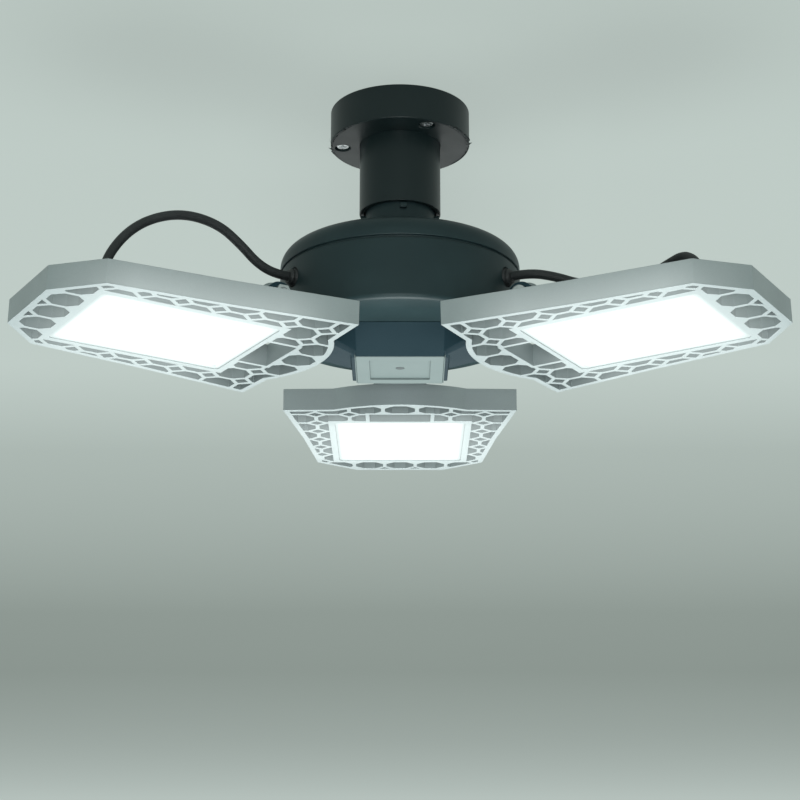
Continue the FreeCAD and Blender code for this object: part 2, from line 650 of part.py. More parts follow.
def make_hub_screw():
    head = cylinder(HUB_SCREW_HEAD_RADIUS - 0.1, HUB_SCREW_SEAT_Z - HUB_SCREW_HEAD_HEIGHT, HUB_SCREW_SEAT_Z)
    top_z = HUB_SCREW_SEAT_Z + HUB_SCREW_LENGTH
    return head.fuse(cylinder(HUB_SCREW_RADIUS, HUB_SCREW_SEAT_Z, top_z)).removeSplitter()


# ---------------------------------------------------------------- wing casting
def wing_outline_face(z):
    """Outer edge of a wing: straight sides, chamfered tip and a bowed nose at the hub."""
    nose_low = at(NOSE_FOOT_U, -NOSE_HALF, z)
    nose_high = at(NOSE_FOOT_U, NOSE_HALF, z)
    corners = [
        nose_high,
        at(WING_INNER_U, WING_INNER_HALF, z),
        at(WING_WAIST_U, WING_WAIST_HALF, z),
        at(WING_SHOULDER_U, WING_SHOULDER_HALF, z),
        at(WING_TIP_U, WING_TIP_HALF, z),
        at(WING_TIP_U, -WING_TIP_HALF, z),
        at(WING_SHOULDER_U, -WING_SHOULDER_HALF, z),
        at(WING_WAIST_U, -WING_WAIST_HALF, z),
        at(WING_INNER_U, -WING_INNER_HALF, z),
        nose_low,
    ]
    edges = [Part.LineSegment(a, b).toShape() for a, b in zip(corners, corners[1:])]
    edges.append(Part.Arc(nose_low, at(NOSE_U, 0, z), nose_high).toShape())
    return Part.Face(Part.Wire(edges))


def regular_cell(u, v, inner_radius, sides, first_angle):
    corner_radius = inner_radius / math.cos(math.pi / sides)
    points = []
    for index in range(sides):
        angle = math.radians(first_angle + index * 360.0 / sides)
        points.append(at(u + corner_radius * math.cos(angle), v + corner_radius * math.sin(angle), WING_BOTTOM_Z))
    return polygon_face(points).extrude(UP * GRILLE_THICKNESS)


def grille_cells():
    """Octagons on a square lattice with small diamonds between them."""
    octagon_inner = (GRILLE_PITCH - GRILLE_WEB) / 2
    diamond_inner = GRILLE_PITCH / (1 + math.sqrt(2)) / 2 - GRILLE_WEB / 2
    columns = int((WING_TIP_U - GRILLE_FIRST_U) / GRILLE_PITCH) + 2
    rows = int(WING_INNER_HALF / GRILLE_PITCH) + 1
    cells = []
    for column in range(-1, columns):
        for row in range(-rows, rows + 1):
            u = GRILLE_FIRST_U + column * GRILLE_PITCH
            v = row * GRILLE_PITCH
            cells.append(regular_cell(u, v, octagon_inner, 8, 22.5))
            half = GRILLE_PITCH / 2
            cells.append(regular_cell(u + half, v + half, diamond_inner, 4, 0.0))
    return cells


def grille_field():
    """The part of a wing's floor that is pierced: inside the rim, clear of box and hinge."""
    field = wing_outline_face(WING_BOTTOM_Z).makeOffset2D(-RIM_WALL).extrude(UP * GRILLE_THICKNESS)
    margin = GRILLE_WEB / 2
    box = block(
        BOX_START_U - margin, BOX_END_U + margin, -BOX_HALF - margin, BOX_HALF + margin,
        WING_BOTTOM_Z, GRILLE_TOP_Z,
    )
    hinge = block(
        GAP_START_U - GRILLE_WEB, GAP_END_U, -GAP_HALF - GRILLE_WEB, GAP_HALF + GRILLE_WEB,
        WING_BOTTOM_Z, GRILLE_TOP_Z,
    )
    return field.cut([box, hinge])


def make_lug():
    """Hinge lug: a barrel about the pin on a foot that rises from the light box over the gap."""
    tangent = math.radians(35)
    under = at(HINGE_U - LUG_RADIUS * math.sin(tangent), -LUG_HALF, HINGE_Z - LUG_RADIUS * math.cos(tangent))
    points = [
        under,
        at(BOX_START_U, -LUG_HALF, BOX_TOP_Z - LUG_FOOT_DEPTH),
        at(BOX_START_U + BOX_WALL, -LUG_HALF, BOX_TOP_Z - LUG_FOOT_DEPTH),
        at(BOX_START_U + BOX_WALL, -LUG_HALF, BOX_TOP_Z),
        at(BOX_START_U + LUG_FOOT_LENGTH, -LUG_HALF, BOX_TOP_Z),
        at(HINGE_U + LUG_RADIUS, -LUG_HALF, HINGE_Z),
        at(HINGE_U, -LUG_HALF, HINGE_Z),
    ]
    web = polygon_face(points).extrude(ALONG_V * (2 * LUG_HALF))
    return web.fuse(cross_rod(LUG_RADIUS, -LUG_HALF, LUG_HALF, HINGE_U, HINGE_Z))


def make_wing_frame():
    outline = wing_outline_face(WING_BOTTOM_Z)
    inside = outline.makeOffset2D(-RIM_WALL)
    rim = outline.extrude(UP * WING_DEPTH).cut(inside.extrude(UP * WING_DEPTH))
    floor = inside.extrude(UP * GRILLE_THICKNESS)
    field = grille_field()
    holes = []
    for cell in grille_cells():
        piece = cell.common(field)
        holes.extend(s for s in piece.Solids if s.Volume > SMALLEST_CELL_AREA * GRILLE_THICKNESS)
    floor = floor.cut(holes)
    gap = block(GAP_START_U, GAP_END_U, -GAP_HALF, GAP_HALF, WING_BOTTOM_Z, GRILLE_TOP_Z)
    over_box = block(BOX_START_U, BOX_END_U, -BOX_HALF, BOX_HALF, BOX_TOP_Z, WING_TOP_Z)
    floor = floor.cut([gap, over_box])
    box = rounded_block(BOX_START_U, BOX_END_U, BOX_HALF, WING_BOTTOM_Z, BOX_TOP_Z, BOX_CORNER)
    fins = []
    for index in range(FIN_COUNT):
        middle = -FIN_SPREAD / 2 + index * FIN_SPREAD / (FIN_COUNT - 1)
        start_v = middle - FIN_THICKNESS / 2
        end_v = middle + FIN_THICKNESS / 2
        fins.append(block(FIN_START_U, FIN_END_U, start_v, end_v, BOX_TOP_Z, BOX_TOP_Z + FIN_HEIGHT))
    casting = rim.fuse([floor, box, make_lug()] + fins)
    window = rounded_block(
        BOX_START_U + BOX_WALL, BOX_END_U - BOX_WALL, BOX_HALF - BOX_WALL,
        WING_BOTTOM_Z, LEDGE_Z, BOX_CORNER - BOX_WALL,
    )
    inset = BOX_WALL + BOX_LEDGE
    chamber = block(
        BOX_START_U + inset, BOX_END_U - inset, -BOX_HALF + inset, BOX_HALF - inset,
        LEDGE_Z, BOX_FLOOR_Z,
    )
    lead_hole = cylinder(LEAD_RADIUS, BOX_FLOOR_Z, BOX_TOP_Z, WING_GLAND_U, 0)
    bore = cross_rod(HINGE_SCREW_RADIUS + LUG_BORE_GAP, -LUG_HALF, LUG_HALF, HINGE_U, HINGE_Z)
    casting = casting.cut([window, chamber, lead_hole, bore])
    return casting.cut(board_screw_places(BOARD_SCREW_RADIUS, BOX_FLOOR_Z, BOX_FLOOR_Z + 1.8)).removeSplitter()


# ---------------------------------------------------------------- light source
def board_size():
    inset = BOX_WALL + BOX_LEDGE + BOARD_MARGIN
    return BOX_START_U + inset, BOX_END_U - inset, BOX_HALF - inset


def board_screw_places(radius, bottom_z, top_z):
    start_u, end_u, half_v = board_size()
    solids = []
    for u in (start_u + BOARD_SCREW_INSET, end_u - BOARD_SCREW_INSET):
        for v in (half_v - BOARD_SCREW_INSET, BOARD_SCREW_INSET - half_v):
            solids.append(cylinder(radius, bottom_z, top_z, u, v))
    return solids


def make_led_board():
    start_u, end_u, half_v = board_size()
    board = block(start_u, end_u, -half_v, half_v, BOARD_BOTTOM_Z, BOX_FLOOR_Z)
    board = board.cut(board_screw_places(BOARD_SCREW_RADIUS, BOARD_BOTTOM_Z, BOX_FLOOR_Z))
    return board.cut(cylinder(LEAD_RADIUS, BOARD_BOTTOM_Z, BOX_FLOOR_Z, WING_GLAND_U, 0))


def make_leds():
    start_u, end_u, half_v = board_size()
    pitch_u = (end_u - start_u - 2 * LED_MARGIN) / (LED_COLUMNS - 1)
    pitch_v = 2 * (half_v - LED_MARGIN) / (LED_ROWS - 1)
    half = LED_SIZE / 2
    top_z = BOARD_BOTTOM_Z
    solids = []
    for column in range(LED_COLUMNS):
        u = start_u + LED_MARGIN + pitch_u * column
        for row in range(LED_ROWS):
            v = -half_v + LED_MARGIN + pitch_v * row
            solids.append(block(u - half, u + half, v - half, v + half, top_z - LED_HEIGHT, top_z))
    return Part.makeCompound(solids)


def make_board_screws():
    shanks = board_screw_places(BOARD_SCREW_RADIUS, BOARD_BOTTOM_Z, BOX_FLOOR_Z + 1.8)
    heads = board_screw_places(BOARD_SCREW_RADIUS * 1.7, BOARD_BOTTOM_Z - 1.2, BOARD_BOTTOM_Z)
    return Part.makeCompound([a.fuse(b).removeSplitter() for a, b in zip(shanks, heads)])


def make_lens():
    inset = BOX_WALL + FIT_GAP / 2
    return rounded_block(
        BOX_START_U + inset, BOX_END_U - inset, BOX_HALF - inset,
        LENS_BOTTOM_Z, LENS_TOP_Z, BOX_CORNER - inset,
    )


def make_lens_gasket():
    inset = BOX_WALL + FIT_GAP / 2
    outside = rounded_block(
        BOX_START_U + inset, BOX_END_U - inset, BOX_HALF - inset,
        LENS_TOP_Z, LEDGE_Z, BOX_CORNER - inset,
    )
    inner = inset + GASKET_WIDTH
    hole = block(
        BOX_START_U + inner, BOX_END_U - inner, -BOX_HALF + inner, BOX_HALF - inner,
        LENS_TOP_Z, LEDGE_Z,
    )
    return outside.cut(hole)


# ---------------------------------------------------------------- hinge hardware
def make_hinge_screw():
    shank = cross_rod(HINGE_SCREW_RADIUS - 0.05, -ARM_HALF_WIDTH, ARM_HALF_WIDTH + HINGE_NUT_HEIGHT, HINGE_U, HINGE_Z)
    head = cross_rod(HINGE_HEAD_RADIUS, -ARM_HALF_WIDTH - HINGE_HEAD_HEIGHT, -ARM_HALF_WIDTH, HINGE_U, HINGE_Z)
    start = -ARM_HALF_WIDTH - HINGE_HEAD_HEIGHT
    outer_edge = [e for e in head.Edges if e.BoundBox.YMax < start + 0.01]
    head = head.makeFillet(1.4, outer_edge)
    driver = cross_rod(1.5, start, start + 1.6, HINGE_U, HINGE_Z)
    return shank.fuse(head).cut(driver).removeSplitter()


def make_hinge_nut():
    corner = HINGE_NUT_ACROSS_FLATS / 2 / math.cos(math.pi / 6)
    points = []
    for index in range(6):
        angle = math.radians(60 * index)
        points.append(at(HINGE_U + corner * math.cos(angle), ARM_HALF_WIDTH, HINGE_Z + corner * math.sin(angle)))
    nut = polygon_face(points).extrude(ALONG_V * HINGE_NUT_HEIGHT)
    return nut.cut(cross_rod(HINGE_SCREW_RADIUS, ARM_HALF_WIDTH, ARM_HALF_WIDTH + HINGE_NUT_HEIGHT, HINGE_U, HINGE_Z))


def make_hinge_washers():
    solids = []
    for start in (CHEEK_INNER - HINGE_WASHER_THICKNESS, -CHEEK_INNER):
        end = start + HINGE_WASHER_THICKNESS
        ring = cross_rod(KNUCKLE_RADIUS - 0.6, start, end, HINGE_U, HINGE_Z)
        solids.append(ring.cut(cross_rod(HINGE_SCREW_RADIUS, start, end, HINGE_U, HINGE_Z)))
    return Part.makeCompound(solids)


# ---------------------------------------------------------------- glands and leads
def make_drum_gland():
    """Grommet through the drum's wall, pointing along +X at the drum's side."""
    inner_u = DRUM_RADIUS - DRUM_WALL - GLAND_FLANGE_THICKNESS
    outer_u = DRUM_RADIUS + DRUM_GLAND_REACH
    body = Part.makeCylinder(GLAND_RADIUS, DRUM_RADIUS - inner_u, at(inner_u, 0, DRUM_GLAND_Z), ALONG_U)
    nose = Part.makeCone(
        GLAND_RADIUS, LEAD_RADIUS + 1.0, outer_u - DRUM_RADIUS, at(DRUM_RADIUS, 0, DRUM_GLAND_Z), ALONG_U
    )
    return body.fuse(nose).removeSplitter()


def make_wing_gland():
    """Grommet on the wing's back plate, pointing up."""
    flange_top_z = BOX_TOP_Z + GLAND_FLANGE_THICKNESS
    flange = cylinder(GLAND_FLANGE_RADIUS, BOX_TOP_Z, flange_top_z, WING_GLAND_U, 0)
    nose_height = WING_GLAND_REACH - GLAND_FLANGE_THICKNESS
    nose = Part.makeCone(GLAND_RADIUS, LEAD_RADIUS + 1.0, nose_height, at(WING_GLAND_U, 0, flange_top_z), UP)
    plug = cylinder(LEAD_RADIUS, BOX_FLOOR_Z, BOX_TOP_Z, WING_GLAND_U, 0)
    return flange.fuse([nose, plug]).removeSplitter()


def lead_route(name):
    """Points of a lead, in the wing's own directions, from the drum to the wing's back.

    Each middle point is a share of the way out, a step sideways and a rise over the gland.
    """
    start = at(DRUM_RADIUS + DRUM_GLAND_REACH, 0, DRUM_GLAND_Z)
    span = WING_GLAND_U - start.x
    high = [
        (0.080, 0.0, 0.0), (0.180, 0.3, 4.0), (0.270, 1.0, 11.5), (0.404, 2.5, 19.5),
        (0.592, 2.5, 21.6), (0.771, 1.5, 15.5), (0.905, 0.5, 4.0),
    ]
    flat = [
        (0.095, 0.0, 0.0), (0.215, 4.5, -2.6), (0.334, 12.0, -7.0), (0.513, 19.5, -8.0),
        (0.672, 19.0, -6.3), (0.801, 13.0, -4.0), (0.900, 7.0, -3.6), (0.970, 2.4, -8.5),
    ]
    middle = {"left": high, "right": flat, "back": high}[name]
    points = [start] + [at(start.x + out * span, side, start.z + rise) for out, side, rise in middle]
    end = at(WING_GLAND_U, 0, BOX_TOP_Z + WING_GLAND_REACH)
    above = at(WING_GLAND_U, 0, end.z + 2 * WING_GLAND_REACH)
    return points + [tilted_point(above), tilted_point(end)]


def make_lead(name):
    points = lead_route(name)
    edges = []
    last = points[0]
    radii = []
    for before, corner, after in zip(points, points[1:], points[2:]):
        back = (before - corner)
        ahead = (after - corner)
        shorter = min(back.Length, ahead.Length)
        turn = math.pi - back.getAngle(ahead)
        reach = 0.45 * shorter
        radius = reach / math.tan(turn / 2)
        radii.append(round(radius, 1))
        enter = corner + back.normalize() * reach
        leave = corner + ahead.normalize() * reach
        inward = (enter + leave) * 0.5 - corner
        centre_distance = math.hypot(radius, reach)
        middle = corner + inward.normalize() * (centre_distance - radius)
        edges.append(Part.LineSegment(last, enter).toShape())
        edges.append(Part.Arc(enter, middle, leave).toShape())
        last = leave
    edges.append(Part.LineSegment(last, points[-1]).toShape())
    path = Part.Wire(edges)
    start_direction = points[1] - points[0]
    section = Part.Wire(Part.makeCircle(LEAD_RADIUS, points[0], start_direction))
    solid = path.makePipeShell([section], True, False)
    expected = math.pi * LEAD_RADIUS ** 2 * path.Length
    print(name, "lead: length", round(path.Length, 1), "bend radii", radii,
          "volume over section times length", round(solid.Volume / expected, 4))
    return solid


# ---------------------------------------------------------------- build
def main():
    os.makedirs("parts", exist_ok=True)
    save("ceiling_base", make_ceiling_base())
    save("holder_tube", make_holder_tube())
    save("contact_block", make_contact_block())
    save("shell_contact", make_shell_contact())
    save("centre_contact", make_centre_contact())
    save("terminals", make_terminals())
    save("terminal_screws", make_terminal_screws())
    save("mounting_screws", make_mounting_screws())

    save("screw_shell", make_screw_shell())
    save("cap_insulator", make_cap_insulator())
    save("tip_contact", make_tip_contact())
    save("neck", make_neck())
    save("dome_cover", make_dome_cover())
    save("drum_body", make_drum_body())
    save("driver_board", make_driver_board())
    save("driver_parts", make_driver_parts())
    save("driver_screws", make_driver_screws())
    save("hub_bracket", make_hub_bracket())
    save("hub_cover", make_hub_cover())
    save("hub_screw", make_hub_screw())

    wing_frame = make_wing_frame()
    led_board = make_led_board()
    leds = make_leds()
    board_screws = make_board_screws()
    lens = make_lens()
    lens_gasket = make_lens_gasket()
    hinge_screw = make_hinge_screw()
    hinge_nut = make_hinge_nut()
    hinge_washers = make_hinge_washers()
    drum_gland = make_drum_gland()
    wing_gland = make_wing_gland()
    for name, angle in WING_DIRECTIONS.items():
        save(name + "_wing_frame", placed(wing_frame, angle))
        save(name + "_led_board", placed(led_board, angle))
        save(name + "_leds", placed(leds, angle))
        save(name + "_board_screws", placed(board_screws, angle))
        save(name + "_lens", placed(lens, angle))
        save(name + "_lens_gasket", placed(lens_gasket, angle))
        save(name + "_hinge_screw", turned(hinge_screw, angle))
        save(name + "_hinge_nut", turned(hinge_nut, angle))
        save(name + "_hinge_washers", turned(hinge_washers, angle))
        save(name + "_drum_gland", turned(drum_gland, angle))
        save(name + "_wing_gland", placed(wing_gland, angle))
        save(name + "_lead", turned(make_lead(name), angle))


main()
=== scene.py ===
"""Looks of a folding three-wing garage light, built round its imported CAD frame.

Everything is in metres in the frame's own axes: the origin is the centre of the
lampholder's ceiling face, +Z is up, and the light hangs towards -Z. A wing is made
along +X, its length, and +Y, its width, and is then turned about Z to its direction.
"""

import json
import logging
import math
from collections.abc import Iterable, Mapping, Sequence
from dataclasses import dataclass
from enum import Enum

import bmesh
import bpy
from mathutils import Matrix, Vector
from mathutils.bvhtree import BVHTree

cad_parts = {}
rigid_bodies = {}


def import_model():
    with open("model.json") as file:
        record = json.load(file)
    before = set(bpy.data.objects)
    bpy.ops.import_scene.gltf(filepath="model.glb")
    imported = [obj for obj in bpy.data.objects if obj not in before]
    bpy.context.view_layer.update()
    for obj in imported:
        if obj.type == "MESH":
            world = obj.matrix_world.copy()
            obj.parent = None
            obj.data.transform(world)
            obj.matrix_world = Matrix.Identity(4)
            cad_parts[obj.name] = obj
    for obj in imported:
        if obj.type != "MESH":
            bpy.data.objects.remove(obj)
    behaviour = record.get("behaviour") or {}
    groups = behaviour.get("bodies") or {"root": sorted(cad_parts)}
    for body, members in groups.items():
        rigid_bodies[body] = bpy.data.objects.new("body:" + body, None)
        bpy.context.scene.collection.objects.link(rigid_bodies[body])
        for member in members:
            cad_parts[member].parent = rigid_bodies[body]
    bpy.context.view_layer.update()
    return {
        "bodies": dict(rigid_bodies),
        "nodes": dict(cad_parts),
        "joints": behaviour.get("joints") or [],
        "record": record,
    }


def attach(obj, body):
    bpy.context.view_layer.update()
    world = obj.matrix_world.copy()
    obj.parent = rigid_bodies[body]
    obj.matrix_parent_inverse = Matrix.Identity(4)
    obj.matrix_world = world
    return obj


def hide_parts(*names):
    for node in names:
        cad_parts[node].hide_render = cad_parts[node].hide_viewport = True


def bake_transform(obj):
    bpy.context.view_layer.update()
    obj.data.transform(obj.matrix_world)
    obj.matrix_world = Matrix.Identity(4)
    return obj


LOG = logging.getLogger("garage_light")
MM = 0.001
Triple = tuple[float, float, float]
Colour = Triple
Profile = Sequence[tuple[float, float]]

# Sizes that more than one piece needs, in millimetres and degrees, before the rest tilt.
HINGE = Vector((77.5, 0.0, -122.5)) * MM
REST_TILT = 1.4
WING_BOTTOM = -149.9
WING_DEPTH = 12.3
SHEET_MIDDLE = 133.0
SHEET_HALF_LENGTH = 45.75
SHEET_HALF_WIDTH = 36.75
WING_GLAND_U = 167.0
DRUM_GLAND_Z = -106.0
LEAD_RADIUS = 2.4

# Mesh clean-up, in millimetres and degrees, and how far big faces lead small ones.
WELD = 0.002
SPIN_WELD = 0.003
BEVEL_WELD = 0.005
FLAT_ANGLE = 0.4
SHARP_ANGLE = 32.0
EYE_STEP = 0.05
NORMAL_WEIGHT = 80

# The lit sheet's glow, and the painted light that the casting round it emits as the sheet's
# bloom, with how it falls off. The first two fade with the square of the distance over the
# sheet's half size, times PAINTED_GLARE_REACH.
SHEET_GLOW: Colour = (0.93, 1.0, 0.985)
BLACK: Colour = (0.0, 0.0, 0.0)
PAINTED_GLARE_REACH = 0.4
PAINTED_GLARE_ALONG: Profile = ((0.25, 1.0), (0.62, 0.25), (0.9, 0.0))
PAINTED_GLARE_ACROSS: Profile = ((0.38, 1.0), (0.6, 0.75), (1.0, 0.6))
PAINTED_GLARE_UP: Profile = ((0.0, 0.8), (0.1, 1.0), (0.7, 0.6), (0.97, 0.4), (1.0, 0.0))
PAINTED_GLARE_IN_CELLS = 0.7


class Side(Enum):
    """The three wings, each with the direction it points in, in degrees about Z."""

    LEFT = 210.0
    RIGHT = 330.0
    BACK = 90.0

    @property
    def label(self) -> str:
        """Prefix of this wing's nodes and body."""
        return self.name.lower()

    @property
    def turn(self) -> Matrix:
        """Turn from the drawing direction, +X, to this wing's direction."""
        return Matrix.Rotation(math.radians(self.value), 4, "Z")

    @property
    def place(self) -> Matrix:
        """Turn of the wing itself, which stands tilted up a little about its hinge."""
        tilt = Matrix.Rotation(math.radians(-REST_TILT), 4, "Y")
        return self.turn @ Matrix.Translation(HINGE) @ tilt @ Matrix.Translation(-HINGE)


# ------------------------------------------------------------------ shader writing
class Channel:
    """A shader socket that takes part in Python sums, through Math nodes."""

    def __init__(self, graph: "Graph", socket: bpy.types.NodeSocket) -> None:
        """Keep the socket and the graph that it belongs to."""
        self.graph = graph
        self.socket = socket

    def _math(self, operation: str, first: object, second: object) -> "Channel":
        """Add a Math node of the given operation on two values or channels."""
        return self.graph.value("ShaderNodeMath", {"operation": operation}, {0: first, 1: second})

    def __add__(self, other: object) -> "Channel":
        """Channel plus value."""
        return self._math("ADD", self, other)

    def __radd__(self, other: object) -> "Channel":
        """Value plus channel."""
        return self._math("ADD", other, self)

    def __sub__(self, other: object) -> "Channel":
        """Channel minus value."""
        return self._math("SUBTRACT", self, other)

    def __mul__(self, other: object) -> "Channel":
        """Channel times value."""
        return self._math("MULTIPLY", self, other)


class Graph:
    """The node tree of one material."""

    def __init__(self, name: str) -> None:
        """Start an empty material of this name."""
        self.material = bpy.data.materials.new(name)
        self.material.use_nodes = True
        self.tree = self.material.node_tree
        self.tree.nodes.clear()

    def node(
        self, kind: str, settings: Mapping[str, object] | None = None, sockets: Mapping | None = None
    ) -> bpy.types.Node:
        """Add one node.

        Args:
            kind: Blender's type name of the node.
            settings: attributes of the node, set first; "stops" gives a ramp's stops.
            sockets: value or channel of each input, by name or number.

        Returns:
            The new node.
        """
        made = self.tree.nodes.new(kind)
        for key, value in (settings or {}).items():
            if key == "stops":
                self._fill_ramp(made.color_ramp, value)
            else:
                setattr(made, key, value)
        for key, value in (sockets or {}).items():
            if isinstance(value, Channel):
                self.tree.links.new(value.socket, made.inputs[key])
            else:
                made.inputs[key].default_value = value
        return made

    @staticmethod
    def _fill_ramp(ramp: bpy.types.ColorRamp, stops: Profile) -> None:
        """Give a grey ramp its stops, each a place and a level."""
        while len(ramp.elements) < len(stops):
            ramp.elements.new(0.5)
        for element, (place, level) in zip(ramp.elements, stops):
            element.position = place
            element.color = (level, level, level, 1.0)

    def value(
        self, kind: str, settings: Mapping[str, object] | None = None,
        sockets: Mapping | None = None, output: int | str = 0,
    ) -> Channel:
        """Add one node and return one of its outputs as a channel."""
        return Channel(self, self.node(kind, settings, sockets).outputs[output])

    def place(self) -> Channel:
        """Object coordinates, which are the frame's own metres."""
        return self.value("ShaderNodeTexCoord", output="Object")

    def axes(self, vector: Channel) -> list[Channel]:
        """The three coordinates of a vector."""
        apart = self.node("ShaderNodeSeparateXYZ", sockets={0: vector})
        return [Channel(self, output) for output in apart.outputs]

    def chart(self, name: str) -> list[Channel]:
        """Both coordinates of a UV map."""
        return self.axes(self.value("ShaderNodeUVMap", {"uv_map": name}))[:2]

    def grain(self, scale: float, detail: float = 2.0, stretch: Triple = (1.0, 1.0, 1.0)) -> Channel:
        """Noise of about one spot in 1/scale metres, from 0 to 1, drawn out by stretch."""
        spread = self.value("ShaderNodeMapping", sockets={"Vector": self.place(), "Scale": stretch})
        return self.value(
            "ShaderNodeTexNoise", sockets={"Vector": spread, "Scale": scale, "Detail": detail}
        )

    def ramp(self, factor: Channel, stops: Profile) -> Channel:
        """Re-map a factor through grey stops."""
        return self.value("ShaderNodeValToRGB", {"stops": stops}, {"Fac": factor})

    def mix(self, factor: object, first: object, second: object) -> Channel:
        """Mix two colours, each a triple or a channel."""
        full = [c if isinstance(c, Channel) else (*c, 1.0) for c in (first, second)]
        return self.value(
            "ShaderNodeMix", {"data_type": "RGBA"}, {0: factor, 6: full[0], 7: full[1]}, output=2
        )

    def bump(self, height: Channel, strength: float, depth: float) -> Channel:
        """Surface relief of the given depth in metres."""
        return self.value(
            "ShaderNodeBump", sockets={"Strength": strength, "Distance": depth, "Height": height}
        )

    def shade(self, sockets: Mapping[str, object]) -> bpy.types.Material:
        """Close the tree with a Principled shader that takes these sockets."""
        surface = self.value("ShaderNodeBsdfPrincipled", sockets=sockets)
        self.node("ShaderNodeOutputMaterial", sockets={"Surface": surface})
        return self.material


# ------------------------------------------------------------------ finishes
@dataclass(frozen=True)
class MouldedPlastic:
    """Satin moulded plastic: a fine spark-eroded grain, faint flow marks and a little dust."""

    name: str
    colour: Colour
    dust: Colour
    roughness: float = 0.42
    grain_depth: float = 0.00005
    gloss: float = 0.24

    def make(self) -> bpy.types.Material:
        """Build the material."""
        graph = Graph(self.name)
        fine = graph.grain(scale=1900.0, detail=3.0)
        cloud = graph.ramp(graph.grain(scale=26.0, detail=4.0), [(0.42, 0.0), (0.78, 1.0)])
        rub = graph.grain(scale=70.0, detail=5.0, stretch=(1.0, 1.0, 0.22))
        return graph.shade({
            "Base Color": graph.mix(cloud * 0.35, self.colour, self.dust),
            "Roughness": self.roughness + rub * 0.16 - 0.06,
            "IOR": 1.5,
            "Specular IOR Level": self.gloss,
            "Normal": graph.bump(fine, strength=0.35, depth=self.grain_depth),
        })


@dataclass(frozen=True)
class PaintedCasting:
    """Sprayed die casting: orange peel, metal flake and cloudy shade in the paint.

    Attributes:
        flake: share of the bright flakes in the paint.
        gloss: specular level of the paint.
        under: painted shade, how bright the paint is made on faces that look downward, as a
        share of its colour.
        glare: painted light, the strength of the glow that a casting emits round the lit
        sheet where it carries the sheet's UV maps.
    """

    name: str
    colour: Colour
    shade: Colour
    metallic: float = 0.25
    roughness: float = 0.44
    flake: float = 0.10
    gloss: float = 0.5
    under: float = 1.0
    glare: float = 0.0

    def make(self) -> bpy.types.Material:
        """Build the material."""
        graph = Graph(self.name)
        flake = graph.value(
            "ShaderNodeTexVoronoi", sockets={"Vector": graph.place(), "Scale": 2600.0}, output="Color"
        )
        glint = graph.ramp(flake, [(0.25, 0.0), (0.95, 1.0)])
        cloud = graph.ramp(graph.grain(scale=34.0, detail=4.0), [(0.35, 0.0), (0.75, 1.0)])
        peel = graph.grain(scale=620.0, detail=2.0) + graph.grain(scale=95.0, detail=3.0) * 0.8
        tone = graph.mix(cloud * 0.45, self.colour, self.shade)
        # Painted shade: faces that look downward get a darker paint colour.
        if self.under < 1.0:
            normal = graph.value("ShaderNodeNewGeometry", output="Normal")
            painted_shade_mask = graph.ramp(graph.axes(normal)[2] * -1.0, [(0.15, 0.0), (0.6, 1.0)])
            tone = graph.mix(painted_shade_mask, tone, tuple(c * self.under for c in self.colour))
        bright = tuple(min(1.0, c * 1.35 + 0.02) for c in self.colour)
        sockets = {
            "Base Color": graph.mix(glint * self.flake, tone, bright),
            "Metallic": self.metallic,
            "Roughness": self.roughness + cloud * 0.08 - glint * 0.05,
            "Specular IOR Level": self.gloss,
            "Normal": graph.bump(peel, strength=0.22, depth=0.00012),
        }
        # Painted light: the casting emits a glow in the sheet's colour round the lit sheet.
        if self.glare:
            sockets["Emission Color"] = graph.mix(self.glare_share(graph), BLACK, SHEET_GLOW)
            sockets["Emission Strength"] = self.glare
        return graph.shade(sockets)

    @staticmethod
    def glare_share(graph: Graph) -> Channel:
        """How much of the painted glow round the sheet each spot gets, from the two UV maps."""
        along, across = graph.chart("sheet")
        height, free = graph.chart("rise")
        near = graph.ramp(along * along * PAINTED_GLARE_REACH, PAINTED_GLARE_ALONG)
        beside = graph.ramp(across * across * PAINTED_GLARE_REACH, PAINTED_GLARE_ACROSS)
        open_share = free * (1.0 - PAINTED_GLARE_IN_CELLS) + PAINTED_GLARE_IN_CELLS
        return near * beside * graph.ramp(height, PAINTED_GLARE_UP) * open_share


@dataclass(frozen=True)
class BareMetal:
    """Turned or plated metal: bright, with fine tool marks and dull patches."""

    name: str
    colour: Colour
    roughness: float = 0.28

    def make(self) -> bpy.types.Material:
        """Build the material."""
        graph = Graph(self.name)
        marks = graph.grain(scale=900.0, detail=2.0, stretch=(1.0, 1.0, 6.0))
        patch = graph.ramp(graph.grain(scale=240.0, detail=4.0), [(0.4, 0.0), (0.7, 1.0)])
        dull = tuple(c * 0.72 for c in self.colour)
        return graph.shade({
            "Base Color": graph.mix(patch * 0.5, self.colour, dull),
            "Metallic": 1.0,
            "Roughness": self.roughness + patch * 0.14,
            "Normal": graph.bump(marks, strength=0.25, depth=0.00004),
        })


@dataclass(frozen=True)
class SoftRubber:
    """Black rubber: matt, finely pitted, greyed where it is handled."""

    name: str
    colour: Colour
    roughness: float = 0.55

    def make(self) -> bpy.types.Material:
        """Build the material."""
        graph = Graph(self.name)
        pits = graph.grain(scale=1500.0, detail=2.0)
        bloom = graph.ramp(graph.grain(scale=120.0, detail=4.0), [(0.4, 0.0), (0.8, 1.0)])
        grey = tuple(c * 2.0 + 0.012 for c in self.colour)
        return graph.shade({
            "Base Color": graph.mix(bloom * 0.5, self.colour, grey),
            "Roughness": self.roughness + bloom * 0.12,
            "Normal": graph.bump(pits, strength=0.3, depth=0.00004),
        })


